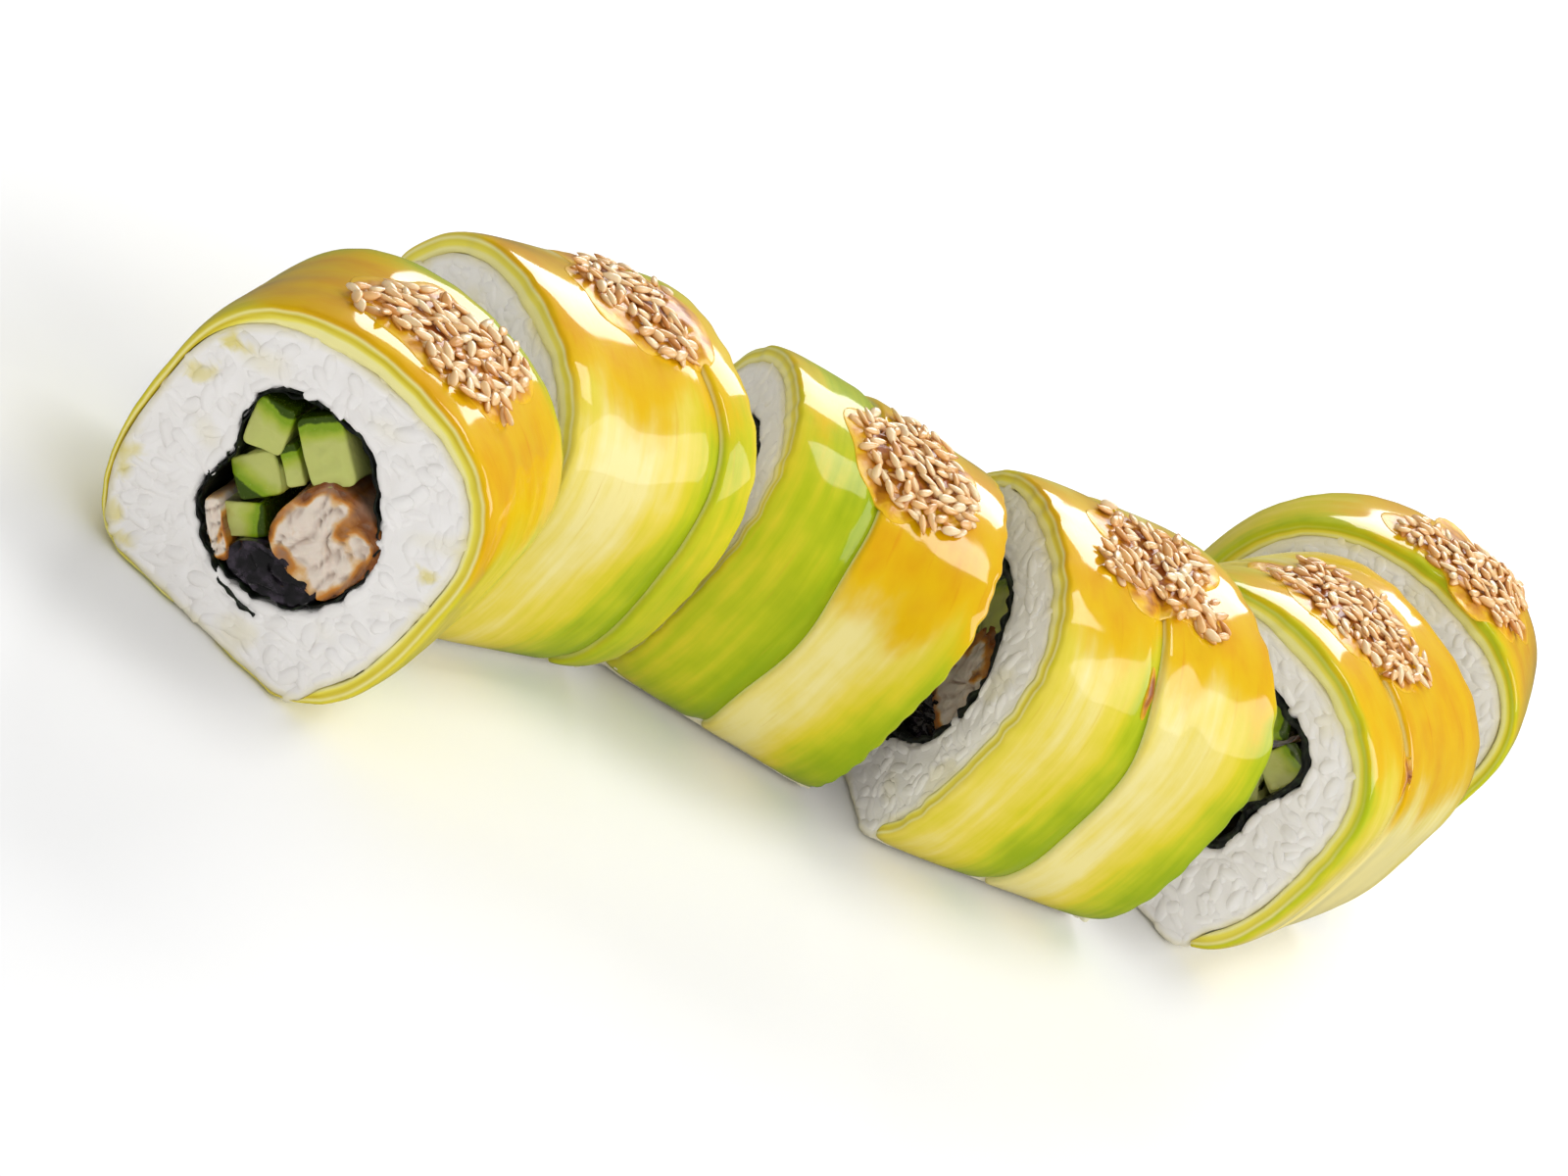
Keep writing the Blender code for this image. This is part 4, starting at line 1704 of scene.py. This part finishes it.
@dataclass(frozen=True)
class SaucePool:
    """A film of sauce on the cover: highest in the middle, its border wandering.

    Attributes:
        cover: The avocado it lies on.
        girth: Middle girth.
        x: Middle place along the axis.
        reach: Half sizes along the girth and the axis.
        height: Height of its middle above the avocado.
        lean: How far the middle moves along the axis for each mm of girth.
        seed: Seed of its border.
    """

    cover: Cover
    girth: float
    x: float
    reach: tuple[float, float]
    height: float
    lean: float = 0.0
    seed: int = 0

    def build(self, name: str) -> None:
        """A lens over the cover: rings that shrink to the middle above, and again below.

        Height = full height * (1 - r^2)^0.6 at a share r of the way to the border.
        """
        turn = np.linspace(0.0, math.tau, 72, endpoint=False)[None]
        ways = np.array([0.02, 0.15, 0.3, 0.45, 0.6, 0.72, 0.82, 0.9, 0.96, 0.99, 1.0])
        share = np.concatenate([ways, ways[::-1][1:]])[:, None]
        top = np.concatenate([np.ones(11), np.zeros(10)])[:, None]
        border = 1.0 + 0.13 * Ripple(self.seed, 1.1, 10).at(np.stack([np.cos(turn), np.sin(turn)], -1))
        girth = self.girth + share * border * np.cos(turn) * self.reach[0]
        x = self.x + share * border * np.sin(turn) * self.reach[1] + self.lean * (girth - self.girth)
        lens = (1.0 - np.minimum(share, 1.0) ** 2) ** 0.6
        bumps = 1.0 + 0.2 * Ripple(self.seed + 1, 4.0).at(np.stack([girth, x], -1))
        above = np.where(top > 0.5, self.height * lens * bumps + 0.02, -0.35 + 0.0 * girth)
        grid = self.cover.surface(girth, x, above)
        pool = np.where(top > 0.5, lens + 0.0 * girth, 0.0)
        Body.tube(grid, {"pool": pool}).piece(name, SauceFinish())


@dataclass(frozen=True)
class SesamePatch:
    """Toasted seeds heaped on the crown of one slice."""

    cover: Cover
    length: float = 2.95
    breadth: float = 1.4
    thickness: float = 0.8

    @staticmethod
    def one_seed(rings: int = 7, width: int = 8) -> Body:
        """A drop of length, breadth and thickness 1: radius grows as a root from its point.

        Radius = 0.5 (1 - t)^0.45 * (t^0.8) scaled to 1 at its widest.
        """
        t = np.array([0.02, 0.14, 0.32, 0.52, 0.72, 0.89, 0.985])[:rings, None]
        turn = np.linspace(0.0, math.tau, width, endpoint=False)[None]
        radius = t**0.75 * (1.0 - t) ** 0.42
        radius = 0.5 * radius / radius.max()
        grid = np.stack([0.5 - t + 0.0 * turn, radius * np.cos(turn), radius * np.sin(turn)], -1)
        return Body.tube(grid, {"tip": 1.0 - t + 0.0 * turn})

    def spots(self, draw: np.random.Generator) -> tuple[Array, Array]:
        """Spots (girth, x) in the patch, and how high each lies in the heap.

        Many spots are drawn in an uneven ellipse, and one is kept where it is far enough from
        those kept before it.
        """
        look = self.cover.cut.look
        middle, place, wide, deep = look.seeds
        place = place * self.cover.cut.depth
        tries = draw.uniform(-1.25, 1.25, (5200, 2))
        angle = np.arctan2(tries[:, 1], tries[:, 0])
        circle = np.stack([np.cos(angle), np.sin(angle)], -1)
        border = 1.0 + 0.16 * Ripple(400 + self.cover.cut.number, 1.3, 8).at(circle)
        tries = tries[np.linalg.norm(tries, axis=1) < border] * np.array([wide, deep])
        kept: list[Array] = []
        level: list[float] = []
        for spot in tries:
            near = [lvl for other, lvl in zip(kept, level) if np.hypot(*(other - spot)) < 1.65]
            stack = 0.0 if not near else 1.0
            if len(near) > 1 or (near and max(near) > 0.5):
                continue
            kept.append(spot)
            level.append(stack)
            if len(kept) == look.seed_count:
                break
        return np.array(kept) + np.array([middle, place]), np.array(level)

    def build_into(self, draw: np.random.Generator) -> tuple[Array, ...]:
        """Lay every seed of the patch.

        Args:
            draw: Source of chance.

        Returns:
            Points on the table, tones, tips and wetness, as (seed, vertex, ...).
        """
        one = self.one_seed()
        spots, level = self.spots(draw)
        count = len(spots)
        cut, outline = self.cover.cut, self.cover.cut.outline
        girth, x = spots[:, 0], spots[:, 1]
        base = self.cover.surface(girth, x, 0.24 + 0.55 * level + draw.uniform(-0.1, 0.12, count))
        away = outline.outward(girth)
        up = cut.table_directions(np.stack([away[:, 0], away[:, 1], np.zeros(count)], -1))
        round_way = cut.table_directions(np.stack([away[:, 1], -away[:, 0], np.zeros(count)], -1))
        axis = np.cross(up, round_way)
        heading = draw.uniform(0.0, math.tau, count)[:, None]
        pitch = np.clip(draw.normal(0.0, 0.16, count) + 0.08 * level, -0.3, 0.3)[:, None]
        flat = round_way * np.cos(heading) + axis * np.sin(heading)
        forward = flat * np.cos(pitch) + up * np.sin(pitch)
        beside = np.cross(up, flat)
        roll = draw.normal(0.0, 0.35, count)[:, None]
        above = np.cross(forward, beside)
        rolled = beside * np.cos(roll) + above * np.sin(roll)
        above = above * np.cos(roll) - beside * np.sin(roll)
        beside = rolled
        size = np.array([self.length, self.breadth, self.thickness])
        size = size * draw.uniform(0.86, 1.12, (count, 3))
        shape = one.places[None] * size[:, None]
        places = (
            base[:, None]
            + shape[..., :1] * forward[:, None]
            + shape[..., 1:2] * beside[:, None]
            + shape[..., 2:] * above[:, None]
        )
        tone = np.repeat(draw.beta(1.6, 2.2, (count, 1)), places.shape[1], 1)
        tip = np.repeat(one.marks["tip"][None], count, 0)
        risen = ((places - base[:, None]) * up[:, None]).sum(-1)
        soaked = draw.uniform(-0.40, 0.35, (count, 1)) - 0.3 * level[:, None]
        wet = smooth(soaked + 0.25, soaked - 0.25, risen) * 0.9
        return places, tone, tip, wet


@dataclass(frozen=True)
class Topping:
    """Sauce films and sesame of the whole roll."""

    covers: tuple[Cover, ...]

    def build(self) -> None:
        """Make a film under every patch, the runs of sauce, and all the seeds as one piece."""
        for cover in self.covers:
            middle, place, wide, deep = cover.cut.look.seeds
            number = cover.cut.number
            x = place * cover.cut.depth
            film = SaucePool(cover, middle, x, (wide + 2.2, deep + 1.8), 0.34, seed=500 + number)
            film.build(f"sauce_film_{number}")
            for index, (girth, share, long, broad, lean) in enumerate(cover.cut.look.drips, start=1):
                start = float(cover.cut.cut(cover.cut.outline.point(np.array(girth))[0], share))
                drip = SaucePool(cover, girth, start, (long, broad), 0.45, lean, seed=520 + number)
                drip.build(f"sauce_drip_{number}_{index}")
        draw = np.random.default_rng(77)
        parts = [SesamePatch(cover).build_into(draw) for cover in self.covers]
        places, tone, tip, wet = (np.concatenate(column) for column in zip(*parts))
        seeds = Body.scatter(SesamePatch.one_seed(), places, {"tone": tone, "tip": tip, "wet": wet})
        seeds.piece("sesame_seeds", SesameFinish())


# ---------------------------------------------------------------- studio


@dataclass(frozen=True)
class Softbox:
    """A soft lamp seen from the roll in one direction.

    Attributes:
        name: Name of the lamp.
        azimuth: Direction from +X towards +Y, in degrees.
        elevation: Height above the table, in degrees.
        distance: Distance from the roll in metres.
        size: Width and height in metres.
        radiance: Brightness of its face.
        mirrored: Whether it shows in reflections.
    """

    name: str
    azimuth: float
    elevation: float
    distance: float
    size: tuple[float, float]
    radiance: float
    mirrored: bool = True

    def build(self, target: Vector) -> None:
        """Hang the lamp and turn it towards the target."""
        data = bpy.data.lights.new(self.name, "AREA")
        data.shape = "RECTANGLE"
        data.size, data.size_y = self.size
        data.energy = self.radiance * math.pi * self.size[0] * self.size[1]
        lamp = bpy.data.objects.new(self.name, data)
        azimuth, elevation = math.radians(self.azimuth), math.radians(self.elevation)
        flat = math.cos(elevation)
        away = Vector((math.cos(azimuth) * flat, math.sin(azimuth) * flat, math.sin(elevation)))
        lamp.location = target + away * self.distance
        lamp.rotation_mode = "QUATERNION"
        lamp.rotation_quaternion = away.to_track_quat("Z", "Y")
        lamp.visible_glossy = self.mirrored
        bpy.context.scene.collection.objects.link(lamp)


@dataclass(frozen=True)
class Studio:
    """White table, soft lamps and the camera.

    Attributes:
        target: Point that the camera looks at, in metres.
        azimuth: Azimuth of the view, 0 looking along +Y.
        elevation: Height of the camera above the table, in degrees.
        distance: Distance of the camera in metres.
        lens: Focal length for a 36 mm sensor.
        roll: How far the view is tipped clockwise, in degrees.
    """

    target: tuple[float, float, float] = (0.0151, 0.0287, 0.0)
    azimuth: float = -53.0
    elevation: float = 25.1
    distance: float = 0.834
    lens: float = 135.0
    roll: float = 42.0
    table_half: float = 4.0
    sky: float = 0.15
    lamps: tuple[Softbox, ...] = (
        Softbox("back_softbox", 45.0, 28.0, 1.3, (0.80, 0.50), 7.2),
        Softbox("right_softbox", -38.0, 33.0, 1.3, (1.0, 0.60), 4.2),
        Softbox("top_softbox", 0.0, 66.0, 1.2, (0.5, 0.4), 6.8),
        Softbox("front_fill", 198.0, 28.0, 1.6, (1.6, 1.0), 1.3, mirrored=False),
        Softbox("near_fill", 262.0, 33.0, 1.6, (1.4, 0.9), 1.7, mirrored=False),
        Softbox("sky_fill", 120.0, 75.0, 1.8, (2.2, 2.2), 0.35, mirrored=False),
    )

    def build(self) -> None:
        """Lay the table, hang the lamps and set the camera."""
        self.table()
        for lamp in self.lamps:
            lamp.build(Vector((0.0, 0.0, 0.02)))
        self.world()
        self.camera()
        bpy.context.scene.view_settings.view_transform = "Standard"

    def table(self) -> None:
        """A thin white slab whose top is the table."""
        half = self.table_half / MM
        ring = np.array([[-half, -half], [half, -half], [half, half], [-half, half]])
        low = np.column_stack([ring, np.full(4, -20.0)])
        high = np.column_stack([ring, np.full(4, -0.05)])
        number = np.arange(8).reshape(2, 4)
        beside = np.roll(number, -1, axis=1)
        sides = np.stack([number[0], beside[0], beside[1], number[1]], -1)
        mesh = bpy.data.meshes.new("table")
        faces = [*sides.tolist(), number[0, ::-1].tolist(), number[1].tolist()]
        mesh.from_pydata((np.concatenate([low, high]) * MM).tolist(), [], faces)
        mesh.materials.append(TableFinish().material())
        top = bpy.data.objects.new("table", mesh)
        bpy.context.scene.collection.objects.link(top)
        top.visible_glossy = False

    def world(self) -> None:
        """Even white surroundings."""
        world = bpy.data.worlds.new("surroundings")
        world.use_nodes = True
        background = world.node_tree.nodes["Background"]
        background.inputs["Color"].default_value = (1.0, 1.0, 1.0, 1.0)
        background.inputs["Strength"].default_value = self.sky
        bpy.context.scene.world = world

    def camera(self) -> None:
        """Stand the camera off from the target and tip it."""
        data = bpy.data.cameras.new("camera")
        data.lens, data.sensor_width = self.lens, 36.0
        data.clip_start, data.clip_end = 0.01, 20.0
        camera = bpy.data.objects.new("camera", data)
        azimuth, elevation = math.radians(self.azimuth), math.radians(self.elevation)
        flat = math.cos(elevation)
        forward = Vector((-math.sin(azimuth) * flat, math.cos(azimuth) * flat, -math.sin(elevation)))
        right = forward.cross(Vector((0.0, 0.0, 1.0))).normalized()
        up = right.cross(forward)
        tip = math.radians(self.roll)
        own_x = right * math.cos(tip) + up * math.sin(tip)
        own_y = up * math.cos(tip) - right * math.sin(tip)
        turn = Matrix((own_x, own_y, -forward)).transposed()
        stand = Matrix.Translation(Vector(self.target) - forward * self.distance)
        camera.matrix_world = stand @ turn.to_4x4()
        bpy.context.scene.collection.objects.link(camera)
        bpy.context.scene.camera = camera


def fill(cut: Cut) -> None:
    """Make every packed filling stick of a slice."""
    for slot, sticks in FILLING.items():
        for index, stick in enumerate(sticks, start=1):
            node = f"{slot.value}_{cut.number}_{index}"
            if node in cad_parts:
                stick.build(cut, node, 600 + cut.number * 10 + index)


def main() -> None:
    """Build the studio and every slice, then note the sizes."""
    logging.basicConfig(level=logging.INFO, format="%(message)s")
    Studio().build()
    covers = []
    for number, look in enumerate(SLICE_LOOKS, start=1):
        cut = Cut.read(number, look)
        RiceBody(cut).build()
        NoriSheet(cut).build()
        fill(cut)
        cover = Cover(cut)
        cover.build()
        covers.append(cover)
    Topping(tuple(covers)).build()


if __name__ == "__main__":
    main()
